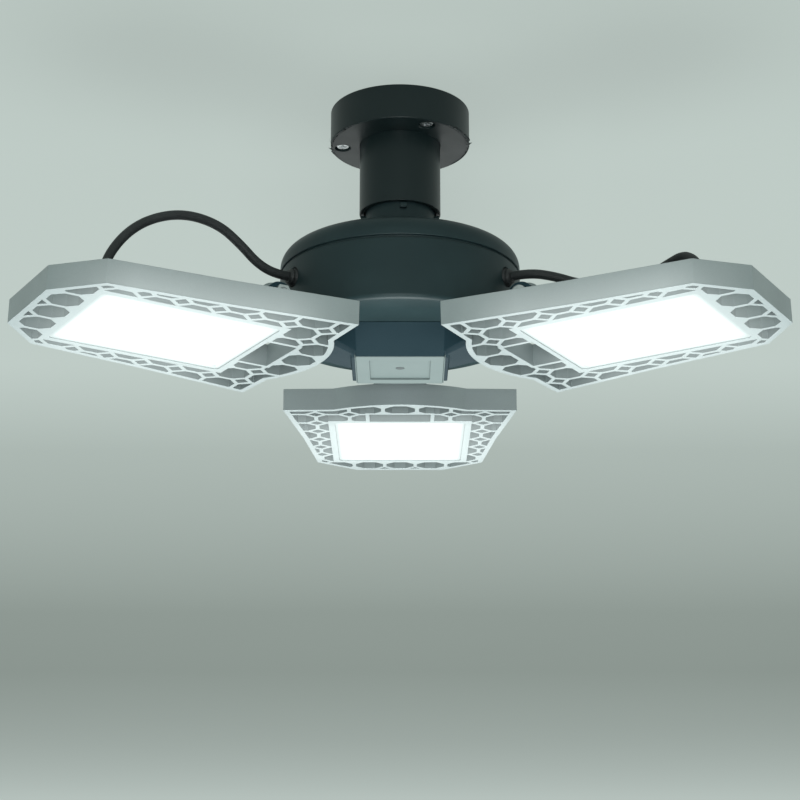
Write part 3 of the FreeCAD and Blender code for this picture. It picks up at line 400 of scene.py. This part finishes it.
@dataclass(frozen=True)
class LitDiffuser:
    """Milky sheet lit from behind by rows of small lamps."""

    name: str
    colour: Colour
    glow: Colour
    strength: float = 1.3
    edge: float = 0.2
    end_fade: Profile = ((0.72, 1.0), (0.97, 0.0))
    side_fade: Profile = ((0.66, 1.0), (0.96, 0.0))

    def make(self) -> bpy.types.Material:
        """Build the material: full glow in the middle of the sheet, less towards its edges."""
        graph = Graph(self.name)
        frost = graph.grain(scale=800.0, detail=2.0)
        along, across = graph.chart("sheet")
        ends = graph.ramp(along * along, self.end_fade)
        sides = graph.ramp(across * across, self.side_fade)
        dim = tuple(c * self.edge for c in self.glow)
        return graph.shade({
            "Base Color": (*self.colour, 1.0),
            "Roughness": 0.38 + frost * 0.08,
            "Emission Color": graph.mix(ends * sides, dim, self.glow),
            "Emission Strength": self.strength,
            "Normal": graph.bump(frost, strength=0.2, depth=0.00004),
        })


@dataclass(frozen=True)
class CoatedBoard:
    """Circuit board or small component: lacquer over a faint woven or printed ground."""

    name: str
    colour: Colour
    second: Colour
    cell: float = 420.0

    def make(self) -> bpy.types.Material:
        """Build the material."""
        graph = Graph(self.name)
        weave = graph.value(
            "ShaderNodeTexVoronoi", {"distance": "CHEBYCHEV"},
            {"Vector": graph.place(), "Scale": self.cell}, output="Distance",
        )
        thread = graph.ramp(weave, [(0.2, 0.0), (0.7, 1.0)])
        return graph.shade({
            "Base Color": graph.mix(thread, self.colour, self.second),
            "Roughness": 0.34 + weave * 0.1,
            "Coat Weight": 0.3,
            "Normal": graph.bump(weave, strength=0.15, depth=0.00005),
        })


# One finish for each of the record's slots, and two more for single pieces.
FINISHES = {
    "black_plastic": MouldedPlastic(
        "black_plastic_finish", (0.015, 0.031, 0.034), (0.030, 0.058, 0.063)
    ),
    "holder_plastic": MouldedPlastic(
        "holder_plastic_finish", (0.008, 0.017, 0.018), (0.015, 0.028, 0.030),
        roughness=0.38, gloss=0.3,
    ),
    "ivory_insulator": MouldedPlastic(
        "ivory_insulator_finish", (0.62, 0.58, 0.50), (0.50, 0.47, 0.42), roughness=0.5
    ),
    "brass_contact": BareMetal("brass_contact_finish", (0.74, 0.55, 0.26)),
    "nickel_cap": BareMetal("nickel_cap_finish", (0.70, 0.69, 0.66), roughness=0.2),
    "glass_insulator": MouldedPlastic(
        "glass_insulator_finish", (0.03, 0.025, 0.03), (0.05, 0.05, 0.05), roughness=0.2
    ),
    "steel_screw": BareMetal("steel_screw_finish", (0.58, 0.61, 0.62), roughness=0.32),
    "dark_screw": MouldedPlastic(
        "dark_screw_finish", (0.07, 0.086, 0.088), (0.06, 0.07, 0.072), roughness=0.5
    ),
    # The dark casting carries painted shade: darker where it faces downward.
    "dark_casting": PaintedCasting(
        "dark_casting_finish", (0.026, 0.056, 0.072), (0.021, 0.046, 0.058),
        metallic=0.05, roughness=0.46, flake=0.05, gloss=0.08, under=0.5,
    ),
    "grey_cover": MouldedPlastic(
        "grey_cover_finish", (0.150, 0.190, 0.188), (0.130, 0.166, 0.164),
        roughness=0.46, gloss=0.15,
    ),
    # The silver casting carries painted light: a glow round each lit sheet.
    "silver_casting": PaintedCasting(
        "silver_casting_finish", (0.315, 0.365, 0.37), (0.255, 0.295, 0.30), glare=0.33
    ),
    "circuit_board": CoatedBoard("circuit_board_finish", (0.02, 0.12, 0.05), (0.03, 0.16, 0.07)),
    "driver_parts": CoatedBoard(
        "driver_parts_finish", (0.05, 0.05, 0.06), (0.08, 0.08, 0.09), cell=260.0
    ),
    "led_board": CoatedBoard("led_board_finish", (0.80, 0.81, 0.80), (0.72, 0.73, 0.72)),
    "led": CoatedBoard("led_finish", (0.85, 0.74, 0.34), (0.78, 0.66, 0.28), cell=900.0),
    "diffuser": LitDiffuser("diffuser_finish", (0.27, 0.31, 0.31), SHEET_GLOW),
    "black_rubber": SoftRubber("black_rubber_finish", (0.016, 0.019, 0.020)),
}


# ------------------------------------------------------------------ the frame's own nodes
class Workshop:
    """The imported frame, its finishes, and the ways that a piece is added to it."""

    def __init__(self, frame: Mapping) -> None:
        """Read the frame and build every finish's material."""
        self.nodes = frame["nodes"]
        self.slots = {row["node"]: row["material_slot"] for row in frame["record"]["subparts"]}
        bodies = frame["record"]["behaviour"]["bodies"]
        self.bodies = {node: body for body, nodes in bodies.items() for node in nodes}
        self.materials = {name: finish.make() for name, finish in FINISHES.items()}
        self.replaced: set[str] = set()

    def dress_nodes(self) -> None:
        """Give every CAD node that still shows the finish of its slot."""
        for name, node in self.nodes.items():
            if name not in self.replaced:
                node.data.materials.clear()
                node.data.materials.append(self.materials[self.slots[name]])

    def add(
        self, name: str, mesh: bpy.types.Mesh, body: str, slot: str, stands_for: Iterable[str] = ()
    ) -> bpy.types.Object:
        """Add a finished mesh as a piece.

        Args:
            name: name of the piece.
            mesh: its mesh, in the frame's metres.
            body: the body that it rides on, or "" where it rides on none.
            slot: the record's material slot.
            stands_for: CAD nodes that it replaces.

        Returns:
            The new object, at the origin.
        """
        piece = bpy.data.objects.new(name, mesh)
        bpy.context.scene.collection.objects.link(piece)
        mesh.materials.clear()
        mesh.materials.append(self.materials[slot])
        if body:
            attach(piece, body)
        for node in stands_for:
            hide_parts(node)
            self.replaced.add(node)
        LOG.info("piece %s: %d faces", name, len(mesh.polygons))
        return piece

    def soften(
        self, node: str, piece: str, width: float, side: Side | None = None, finish: str = ""
    ) -> bpy.types.Object:
        """Replace a CAD node by a copy of it whose sharp edges are rounded.

        Args:
            node: the CAD node.
            piece: name of the new piece.
            width: width of the rounding, in millimetres.
            side: the wing that the node is on, where the casting is given the sheet's painted glow.
            finish: finish of the new piece, where it isn't its slot's own.

        Returns:
            The new piece.
        """
        form = bmesh.new()
        form.from_mesh(self.nodes[node].data)
        bmesh.ops.remove_doubles(form, verts=form.verts, dist=WELD * MM)
        bmesh.ops.dissolve_limit(
            form, angle_limit=math.radians(FLAT_ANGLE), verts=form.verts, edges=form.edges
        )
        limit = math.radians(SHARP_ANGLE)
        sharp = [e for e in form.edges if len(e.link_faces) == 2 and e.calc_face_angle(0.0) > limit]
        round_edges(form, sharp, width, segments=2, clamp=False, slide=True)
        bmesh.ops.remove_doubles(form, verts=form.verts, dist=BEVEL_WELD * MM)
        if side:
            chart_over_sheet(form, side)
        made = self.add(piece, finished_mesh(form, piece), self.bodies[node], self.slots[node], [node])
        if finish:
            made.data.materials[0] = self.materials[finish]
        weighted = made.modifiers.new("even_normals", "WEIGHTED_NORMAL")
        weighted.weight = NORMAL_WEIGHT
        return made


def round_edges(
    form: bmesh.types.BMesh, edges: list[bmesh.types.BMEdge], width: float, segments: int,
    clamp: bool = True, slide: bool = False,
) -> None:
    """Round some edges of a form.

    Args:
        form: the form.
        edges: its edges to round.
        width: width of the rounding, in millimetres.
        segments: steps in each rounding.
        clamp: whether roundings that would meet are made narrower.
        slide: whether new corners slide along the edges that aren't rounded.
    """
    bmesh.ops.bevel(
        form, geom=edges, offset=width * MM, offset_type="OFFSET", segments=segments, profile=0.5,
        affect="EDGES", clamp_overlap=clamp, material=-1, loop_slide=slide,
    )


def add_block(form: bmesh.types.BMesh, size: Triple) -> list[bmesh.types.BMVert]:
    """Add a block of this size in millimetres, centred at the origin, and return its corners."""
    corners = bmesh.ops.create_cube(form, size=1.0)["verts"]
    bmesh.ops.scale(form, vec=Vector(size) * MM, verts=corners)
    return corners


def finished_mesh(form: bmesh.types.BMesh, name: str) -> bpy.types.Mesh:
    """Turn a bmesh into a smooth-shaded mesh and free it."""
    for face in form.faces:
        face.smooth = True
    mesh = bpy.data.meshes.new(name)
    form.to_mesh(mesh)
    form.free()
    return mesh


def chart_over_sheet(form: bmesh.types.BMesh, side: Side) -> None:
    """Write where each corner lies over the lit sheet, as two UV maps.

    The map "sheet" runs from -1 to 1 over the sheet's length and width. The map "rise"
    holds the height, from 0 at the wing's lower face to 1 at its upper one, and 1 beside
    it where the face looks out freely, not at another wall of its cell.

    Args:
        form: a form in the frame's metres, on this wing.
        side: the wing.
    """
    level = side.place.inverted()
    walls = BVHTree.FromBMesh(form)
    sheet = form.loops.layers.uv.new("sheet")
    rise = form.loops.layers.uv.new("rise")
    for face in form.faces:
        start = face.calc_center_median() + face.normal * EYE_STEP * MM
        free = 1.0 if walls.ray_cast(start, face.normal)[0] is None else 0.0
        for corner in face.loops:
            spot = level @ corner.vert.co / MM
            along = (spot.x - SHEET_MIDDLE) / SHEET_HALF_LENGTH
            corner[sheet].uv = (along, spot.y / SHEET_HALF_WIDTH)
            corner[rise].uv = ((spot.z - WING_BOTTOM) / WING_DEPTH, free)


def spun(profile: Profile, steps: int = 40) -> bmesh.types.BMesh:
    """Revolve a profile of radius and height about Z into a closed form.

    Args:
        profile: points of radius and height in millimetres, from the axis and back to it.
        steps: steps in the full turn.

    Returns:
        The form, with its doubles merged and its faces outwards.
    """
    form = bmesh.new()
    verts = [form.verts.new((radius * MM, 0.0, height * MM)) for radius, height in profile]
    edges = [form.edges.new(pair) for pair in zip(verts, verts[1:])]
    bmesh.ops.spin(
        form, geom=verts + edges, axis=(0, 0, 1), cent=(0, 0, 0), angle=2 * math.pi, steps=steps,
        use_merge=True, use_normal_flip=False, use_duplicate=False, dvec=(0, 0, 0),
    )
    bmesh.ops.remove_doubles(form, verts=form.verts, dist=SPIN_WELD * MM)
    bmesh.ops.recalc_face_normals(form, faces=form.faces)
    return form


# ------------------------------------------------------------------ sub-assemblies
@dataclass(frozen=True)
class StrainRelief:
    """Ribbed rubber sleeve that holds a lead where it enters a housing, in millimetres.

    Attributes:
        length: length outside the housing.
        root: length inside the housing.
        ribs: number of ribs, which get thinner towards the lead.
        rib_section: one rib's points, each the distance out from the rib's radius and the
            share of the rib's length.
    """

    length: float
    root: float
    ribs: int
    flange_radius: float = 0.0
    flange_height: float = 0.0
    base_radius: float = 5.2
    lead_radius: float = LEAD_RADIUS
    rib_section: Profile = ((-0.35, 0.04), (0.0, 0.22), (-0.1, 0.6), (-0.75, 0.78), (-0.75, 0.96))

    def profile(self) -> list[tuple[float, float]]:
        """Half section, in millimetres, along the lead's own direction."""
        points = [(0.0, -self.root), (self.base_radius, -self.root)]
        if self.flange_radius:
            points += [
                (self.base_radius, 0.0),
                (self.flange_radius - 0.4, 0.0),
                (self.flange_radius, 0.4),
                (self.flange_radius, self.flange_height - 0.5),
                (self.flange_radius - 0.5, self.flange_height),
            ]
        start = self.flange_height
        step = (self.length - start) / self.ribs
        end_radius = self.lead_radius + 0.9
        for rib in range(self.ribs):
            radius = self.base_radius + (end_radius - self.base_radius) * (rib / self.ribs)
            low = start + rib * step
            points += [(radius + out, low + step * share) for out, share in self.rib_section]
        return points + [
            (end_radius - 0.2, self.length - 0.15),
            (self.lead_radius - 0.1, self.length),
            (0.0, self.length),
        ]

    def build(self, workshop: Workshop, name: str, body: str, place: Matrix, node: str) -> None:
        """Make the sleeve at a place, standing for its CAD node.

        Args:
            workshop: where the piece is added.
            name: name of the piece.
            body: body that it rides on.
            place: transform that takes the sleeve's own +Z to the lead's direction.
            node: the CAD node that it replaces.
        """
        form = spun(self.profile())
        bmesh.ops.transform(form, matrix=place, verts=form.verts)
        workshop.add(name, finished_mesh(form, name), body, "black_rubber", [node])


# Control points of a lead between its ends, in millimetres, for a wing along +X.
LYING_LEAD = (
    (75.96, 0.0, -106.0), (88.03, 4.5, -108.6), (100.0, 12.0, -113.0), (118.01, 19.5, -114.0),
    (134.0, 19.0, -112.3), (146.98, 13.0, -110.0), (156.94, 7.0, -109.6), (163.98, 2.4, -114.5),
)
ARCHED_LEAD = (
    (74.45, 0.0, -106.0), (84.51, 0.3, -102.0), (93.56, 1.0, -94.5), (107.04, 2.5, -86.5),
    (125.96, 2.5, -84.4), (143.96, 1.5, -90.5), (157.44, 0.5, -102.0),
)


@dataclass
class Lead:
    """Round two-core lead between the drum and a wing.

    Attributes:
        side: the wing that it goes to.
        radius: its radius, in millimetres like the sizes below.
        exit_u, exit_z: where it leaves the drum, along the wing's direction and up.
        end_u, end_z: where it enters the wing's back, likewise.
        upright: how far above that it already stands straight.
        curve_steps: steps between two control points.
        tube_steps: Blender's bevel resolution for the tube's round.
    """

    side: Side
    radius: float = LEAD_RADIUS
    exit_u: float = 66.4
    exit_z: float = DRUM_GLAND_Z
    end_u: float = WING_GLAND_U
    end_z: float = -133.5
    upright: float = 12.0
    curve_steps: int = 10
    tube_steps: int = 6

    def route(self) -> list[Vector]:
        """All control points in the frame's metres, from the drum to the wing's back."""
        middle = LYING_LEAD if self.side is Side.RIGHT else ARCHED_LEAD
        fixed = [(self.exit_u, 0.0, self.exit_z), *middle]
        carried = [(self.end_u, 0.0, self.end_z + self.upright), (self.end_u, 0.0, self.end_z)]
        points = [self.side.turn @ (Vector(p) * MM) for p in fixed]
        return points + [self.side.place @ (Vector(p) * MM) for p in carried]

    def curve(self, name: str) -> bpy.types.Object:
        """A NURBS curve through the route's control points, with no thickness."""
        route = self.route()
        data = bpy.data.curves.new(name, "CURVE")
        data.dimensions = "3D"
        data.resolution_u = self.curve_steps
        data.use_fill_caps = True
        spline = data.splines.new("NURBS")
        spline.points.add(len(route) - 1)
        for point, place in zip(spline.points, route):
            point.co = (*place, 1.0)
        spline.order_u = 3
        spline.use_endpoint_u = True
        made = bpy.data.objects.new(name, data)
        bpy.context.scene.collection.objects.link(made)
        return made

    @staticmethod
    def evaluated(line: bpy.types.Object) -> bpy.types.Mesh:
        """The mesh that a curve makes as it stands."""
        bpy.context.view_layer.update()
        graph = bpy.context.evaluated_depsgraph_get()
        return bpy.data.meshes.new_from_object(line.evaluated_get(graph))

    def build(self, workshop: Workshop) -> None:
        line = self.curve(f"{self.side.label}_lead_line")
        path = [vert.co.copy() for vert in self.evaluated(line).vertices]
        line.data.bevel_depth = self.radius * MM
        line.data.bevel_resolution = self.tube_steps
        tube = self.evaluated(line)
        bpy.data.objects.remove(line)
        for face in tube.polygons:
            face.use_smooth = True
        name = f"{self.side.label}_lead_sleeve"
        piece = workshop.add(name, tube, "", "black_rubber", [f"{self.side.label}_lead"])
        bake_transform(piece)
        2 * self.radius * MM


@dataclass(frozen=True)
class Diffuser:
    """Lit sheet of a wing, with the moulded step and groove round its edge.

    The groove is `step` deep, and the sheet inside it comes back by the share `land` of that.
    """

    bottom_z: float = -149.4
    top_z: float = -147.4
    corner: float = 2.3
    corner_steps: int = 5
    border: float = 2.6
    groove: float = 0.5
    step: float = 0.55
    land: float = 0.6

    def build(self, workshop: Workshop, side: Side) -> None:
        """Make the sheet: a rounded slab whose lower face is inset for border, groove and step."""
        form = bmesh.new()
        add_block(form, (2 * SHEET_HALF_LENGTH, 2 * SHEET_HALF_WIDTH, self.top_z - self.bottom_z))
        middle = Vector((SHEET_MIDDLE, 0.0, (self.top_z + self.bottom_z) / 2)) * MM
        bmesh.ops.translate(form, vec=middle, verts=form.verts)
        upright = [e for e in form.edges if abs((e.verts[0].co - e.verts[1].co).z) > MM]
        round_edges(form, upright, self.corner, self.corner_steps)
        form.normal_update()
        face = min(form.faces, key=lambda f: f.calc_center_median().z)
        insets = ((self.border, 0.0), (self.groove, self.step), (self.groove, -self.step * self.land))
        for width, rise in insets:
            bmesh.ops.inset_region(form, faces=[face], thickness=width * MM, depth=0.0)
            bmesh.ops.translate(form, vec=(0.0, 0.0, rise * MM), verts=face.verts)
        bmesh.ops.transform(form, matrix=side.place, verts=form.verts)
        chart_over_sheet(form, side)
        name = f"{side.label}_diffuser"
        mesh = finished_mesh(form, name)
        for polygon in mesh.polygons:
            polygon.use_smooth = False
        workshop.add(name, mesh, f"{side.label}_wing", "diffuser", [f"{side.label}_lens"])


@dataclass
class Lampholder:
    """Ceiling base, tube and the screws that hold them up; the contacts inside stay as in CAD."""

    rounding: float = 0.35
    screw_rounding: float = 0.18

    def build(self, workshop: Workshop) -> None:
        """Round the edges of the parts that show."""
        workshop.soften("ceiling_base", "holder_flange", self.rounding, finish="holder_plastic")
        workshop.soften("holder_tube", "holder_barrel", self.rounding, finish="holder_plastic")
        workshop.soften("mounting_screws", "holder_screws", self.screw_rounding)


@dataclass
class DriverDrum:
    """Neck, domed cover and lower shell that hold the driver."""

    rounding: float = 0.4
    catch_angles: tuple[float, ...] = (180.0, 275.0, 360.0)
    catch_size: Triple = (3.2, 3.6, 2.6)
    catch_radius: float = 19.4
    catch_z: float = -61.3
    catch_rounding: float = 0.35

    def build(self, workshop: Workshop) -> None:
        """Round the edges of the shells and the neck, and add the catches."""
        workshop.soften("dome_cover", "drum_dome", self.rounding)
        workshop.soften("drum_body", "drum_shell", self.rounding)
        workshop.soften("neck", "lamp_neck", self.rounding)
        self.add_catches(workshop)

    def add_catches(self, workshop: Workshop) -> None:
        """Add the small catches that stand out of the neck just below the tube."""
        form = bmesh.new()
        for angle in self.catch_angles:
            corners = add_block(form, self.catch_size)
            out = Vector((self.catch_radius, 0.0, self.catch_z)) * MM
            bmesh.ops.translate(form, vec=out, verts=corners)
            turn = Matrix.Rotation(math.radians(angle), 4, "Z")
            bmesh.ops.transform(form, matrix=turn, verts=corners)
        round_edges(form, form.edges[:], self.catch_rounding, segments=2)
        workshop.add("neck_catches", finished_mesh(form, "neck_catches"), "lamp", "black_plastic")


@dataclass
class Hub:
    """Dark cast hub with its three arms, and the grey plate below."""

    rounding: float = 0.5
    plate_rounding: float = 0.25
    screw_rounding: float = 0.12
    plate_half_x: float = 22.6
    bottom_z: float = -146.2
    lip_gap: float = 0.35
    lip_width: float = 0.55
    lip_length: float = 44.0
    lip_height: float = 7.5
    lip_lean: float = 0.136
    lip_rounding: float = 0.12

    def build(self, workshop: Workshop) -> None:
        """Round the edges of the casting, the plate and its screw, and add the lips, pale as a painted
        highlight.
        """
        workshop.soften("hub_bracket", "hub_casting", self.rounding)
        workshop.soften("hub_cover", "hub_plate", self.plate_rounding)
        workshop.soften("hub_screw", "hub_plate_screw", self.screw_rounding, finish="dark_screw")
        self.add_lips(workshop)

    def add_lips(self, workshop: Workshop) -> None:
        """Add the thin lips along the plate's left and right edges, pale as a painted highlight of the
        casting's lit edges.
        """
        form = bmesh.new()
        for hand in (-1.0, 1.0):
            corners = add_block(form, (self.lip_width, self.lip_length, self.lip_height))
            lean = Matrix.Shear("XY", 4, (hand * self.lip_lean, 0.0))
            bmesh.ops.transform(form, matrix=lean, verts=corners)
            reach = self.plate_half_x + self.lip_gap + self.lip_height * self.lip_lean / 2
            middle = Vector((hand * reach, 0.0, self.bottom_z + self.lip_height / 2)) * MM
            bmesh.ops.translate(form, vec=middle, verts=corners)
        round_edges(form, form.edges[:], self.lip_rounding, segments=1)
        # Painted highlight: the lips take the pale grey cover's colour, not the dark casting's.
        workshop.add("hub_plate_lips", finished_mesh(form, "hub_plate_lips"), "lamp", "grey_cover")


@dataclass
class Wing:
    """One folding wing: pierced casting, lit sheet, hinge screws, grommets and lead."""

    side: Side
    rounding: float = 0.22
    bolt_rounding: float = 0.2
    nut_rounding: float = 0.25
    gland_z: float = -139.5
    drum_gland_u: float = 61.0
    diffuser: Diffuser = Diffuser()
    wing_sleeve: StrainRelief = StrainRelief(
        length=6.0, root=2.4, ribs=3, flange_radius=6.6, flange_height=1.8
    )
    drum_sleeve: StrainRelief = StrainRelief(length=5.4, root=1.8, ribs=2)

    def build(self, workshop: Workshop) -> None:
        """Make the wing's pieces."""
        label = self.side.label
        workshop.soften(f"{label}_wing_frame", f"{label}_wing_casting", self.rounding, self.side)
        workshop.soften(f"{label}_hinge_screw", f"{label}_hinge_bolt", self.bolt_rounding)
        workshop.soften(f"{label}_hinge_nut", f"{label}_hinge_locknut", self.nut_rounding)
        self.diffuser.build(workshop, self.side)
        self.add_sleeves(workshop, label)
        Lead(self.side).build(workshop)

    def add_sleeves(self, workshop: Workshop, label: str) -> None:
        """Add the lead's sleeves, upright on the wing's back and outward on the drum's wall."""
        upright = self.side.place @ Matrix.Translation(Vector((WING_GLAND_U, 0.0, self.gland_z)) * MM)
        outward = (
            self.side.turn
            @ Matrix.Translation(Vector((self.drum_gland_u, 0.0, DRUM_GLAND_Z)) * MM)
            @ Matrix.Rotation(math.pi / 2, 4, "Y")
        )
        self.wing_sleeve.build(
            workshop, f"{label}_wing_grommet", f"{label}_wing", upright, f"{label}_wing_gland"
        )
        self.drum_sleeve.build(
            workshop, f"{label}_drum_grommet", "lamp", outward, f"{label}_drum_gland"
        )


# ------------------------------------------------------------------ stage, light and camera
@dataclass(frozen=True)
class SoftLamp:
    """A square lamp that faces a point of the light; places in metres, power in watts."""

    name: str
    place: Triple
    size: float
    power: float
    aim: Triple = (0.0, 0.0, -0.1)
    tint: Colour = (0.96, 1.0, 0.985)

    def build(self) -> None:
        """Hang the lamp in the scene."""
        data = bpy.data.lights.new(self.name, "AREA")
        data.size = self.size
        data.energy = self.power
        data.color = self.tint
        lamp = bpy.data.objects.new(self.name, data)
        lamp.location = self.place
        lamp.rotation_mode = "QUATERNION"
        lamp.rotation_quaternion = (Vector(self.aim) - Vector(self.place)).to_track_quat("-Z", "Y")
        bpy.context.scene.collection.objects.link(lamp)


CEILING_POINT = (0.0, 0.0, -0.05)
LAMPS = (
    SoftLamp("bounce_from_floor", (0.0, -0.1, -2.6), size=1.4, power=95.0),
    SoftLamp("bounce_front", (0.0, -1.9, -0.9), size=1.0, power=18.0),
    SoftLamp("bounce_far", (0.0, 2.4, -1.14), size=1.2, power=6.0, aim=CEILING_POINT),
    SoftLamp("bounce_back_left", (-1.1, 0.75, -1.1), size=0.8, power=8.0, aim=CEILING_POINT),
    SoftLamp("bounce_back_right", (1.1, 0.75, -1.1), size=0.8, power=8.0, aim=CEILING_POINT),
    SoftLamp("room_left", (-1.7, -1.2, -0.5), size=1.0, power=0.8),
    SoftLamp("room_right", (1.7, -1.0, -0.6), size=1.0, power=0.6),
)


@dataclass
class Studio:
    """Pale ceiling, soft light from below and the camera at the photograph's angle.

    The ceiling's glow is pale over the object, dark behind it and pale again far away. The
    levels of `ceiling_fade` mix `pale_glow` and `dark_glow`; its places along +Y are shares
    of `ceiling_reach`, counted from `ceiling_start` before the origin. The glow is for the
    camera and for reflections only, so it doesn't light the object.
    """

    ceiling_size: float = 14.0
    ceiling_place: Triple = (0.0, 2.0, 0.0004)
    ceiling_colour: Colour = (0.24, 0.276, 0.258)
    ceiling_start: float = 0.2
    ceiling_reach: float = 5.0
    ceiling_fade: Profile = (
        (0.0, 0.2), (0.05, 0.05), (0.13, 0.05), (0.18, 0.45), (0.34, 0.9), (0.44, 0.9), (0.88, 0.03),
    )
    pale_glow: Colour = (0.550, 0.631, 0.597)
    dark_glow: Colour = (0.233, 0.273, 0.249)
    glow_share: float = 0.82
    sky_colour: Colour = (0.78, 0.86, 0.83)
    sky_strength: float = 0.21
    camera_place: Triple = (0.0, -0.9583, -0.4492)
    camera_pitch: float = 106.67
    camera_range: tuple[float, float] = (0.01, 50.0)
    lens: float = 86.53
    sensor: float = 36.0

    def add_camera(self) -> None:
        """Place the camera."""
        data = bpy.data.cameras.new("photo_camera")
        data.lens = self.lens
        data.sensor_width = self.sensor
        data.clip_start, data.clip_end = self.camera_range
        camera = bpy.data.objects.new("photo_camera", data)
        camera.location = self.camera_place
        camera.rotation_euler = (math.radians(self.camera_pitch), 0.0, 0.0)
        bpy.context.scene.collection.objects.link(camera)
        bpy.context.scene.camera = camera

    def ceiling_paint(self) -> bpy.types.Material:
        """Matt paint that the camera sees mostly as a fading glow, and clear from above."""
        graph = Graph("ceiling_paint")
        behind = graph.value("ShaderNodeNewGeometry", output="Backfacing")
        clear = graph.value("ShaderNodeBsdfTransparent")
        cloud = graph.ramp(graph.grain(scale=1.6, detail=3.0), [(0.3, 0.0), (0.75, 1.0)])
        shade = tuple(c * 0.9 for c in self.ceiling_colour)
        paint = graph.value("ShaderNodeBsdfPrincipled", sockets={
            "Base Color": graph.mix(cloud, self.ceiling_colour, shade), "Roughness": 0.8,
        })
        reach = (graph.axes(graph.place())[1] + self.ceiling_start) * (1.0 / self.ceiling_reach)
        fade = graph.ramp(reach, self.ceiling_fade)
        glow = graph.value("ShaderNodeEmission", sockets={
            "Color": graph.mix(fade, self.pale_glow, self.dark_glow), "Strength": 1.0,
        })
        rays = graph.node("ShaderNodeLightPath").outputs
        seen = Channel(graph, rays["Is Camera Ray"]) + Channel(graph, rays["Is Glossy Ray"])
        share = seen * self.glow_share
        room = graph.value("ShaderNodeMixShader", sockets={0: share, 1: paint, 2: glow})
        surface = graph.value("ShaderNodeMixShader", sockets={0: behind, 1: room, 2: clear})
        graph.node("ShaderNodeOutputMaterial", sockets={"Surface": surface})
        return graph.material

    def add_ceiling(self) -> None:
        """Lay the ceiling that the light hangs from; it is seen from below only."""
        form = bmesh.new()
        bmesh.ops.create_grid(form, x_segments=1, y_segments=1, size=self.ceiling_size / 2)
        bmesh.ops.reverse_faces(form, faces=form.faces)
        bmesh.ops.translate(form, vec=self.ceiling_place, verts=form.verts)
        mesh = finished_mesh(form, "ceiling")
        mesh.materials.append(self.ceiling_paint())
        ceiling = bpy.data.objects.new("ceiling", mesh)
        bpy.context.scene.collection.objects.link(ceiling)

    def add_world(self) -> None:
        """Even, slightly green surroundings that light the object from all sides."""
        world = bpy.data.worlds.new("surroundings")
        world.use_nodes = True
        background = world.node_tree.nodes["Background"]
        background.inputs["Color"].default_value = (*self.sky_colour, 1.0)
        background.inputs["Strength"].default_value = self.sky_strength
        bpy.context.scene.world = world

    def build(self) -> None:
        """Set the stage."""
        self.add_camera()
        self.add_ceiling()
        self.add_world()
        for lamp in LAMPS:
            lamp.build()
        bpy.context.scene.view_settings.view_transform = "Standard"


def main() -> None:
    """Build the looks of the whole light."""
    logging.basicConfig(level=logging.INFO, format="%(message)s")
    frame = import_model()
    workshop = Workshop(frame)
    Studio().build()
    Lampholder().build(workshop)
    DriverDrum().build(workshop)
    Hub().build(workshop)
    for side in Side:
        Wing(side).build(workshop)
    workshop.dress_nodes()


if __name__ == "__main__":
    main()
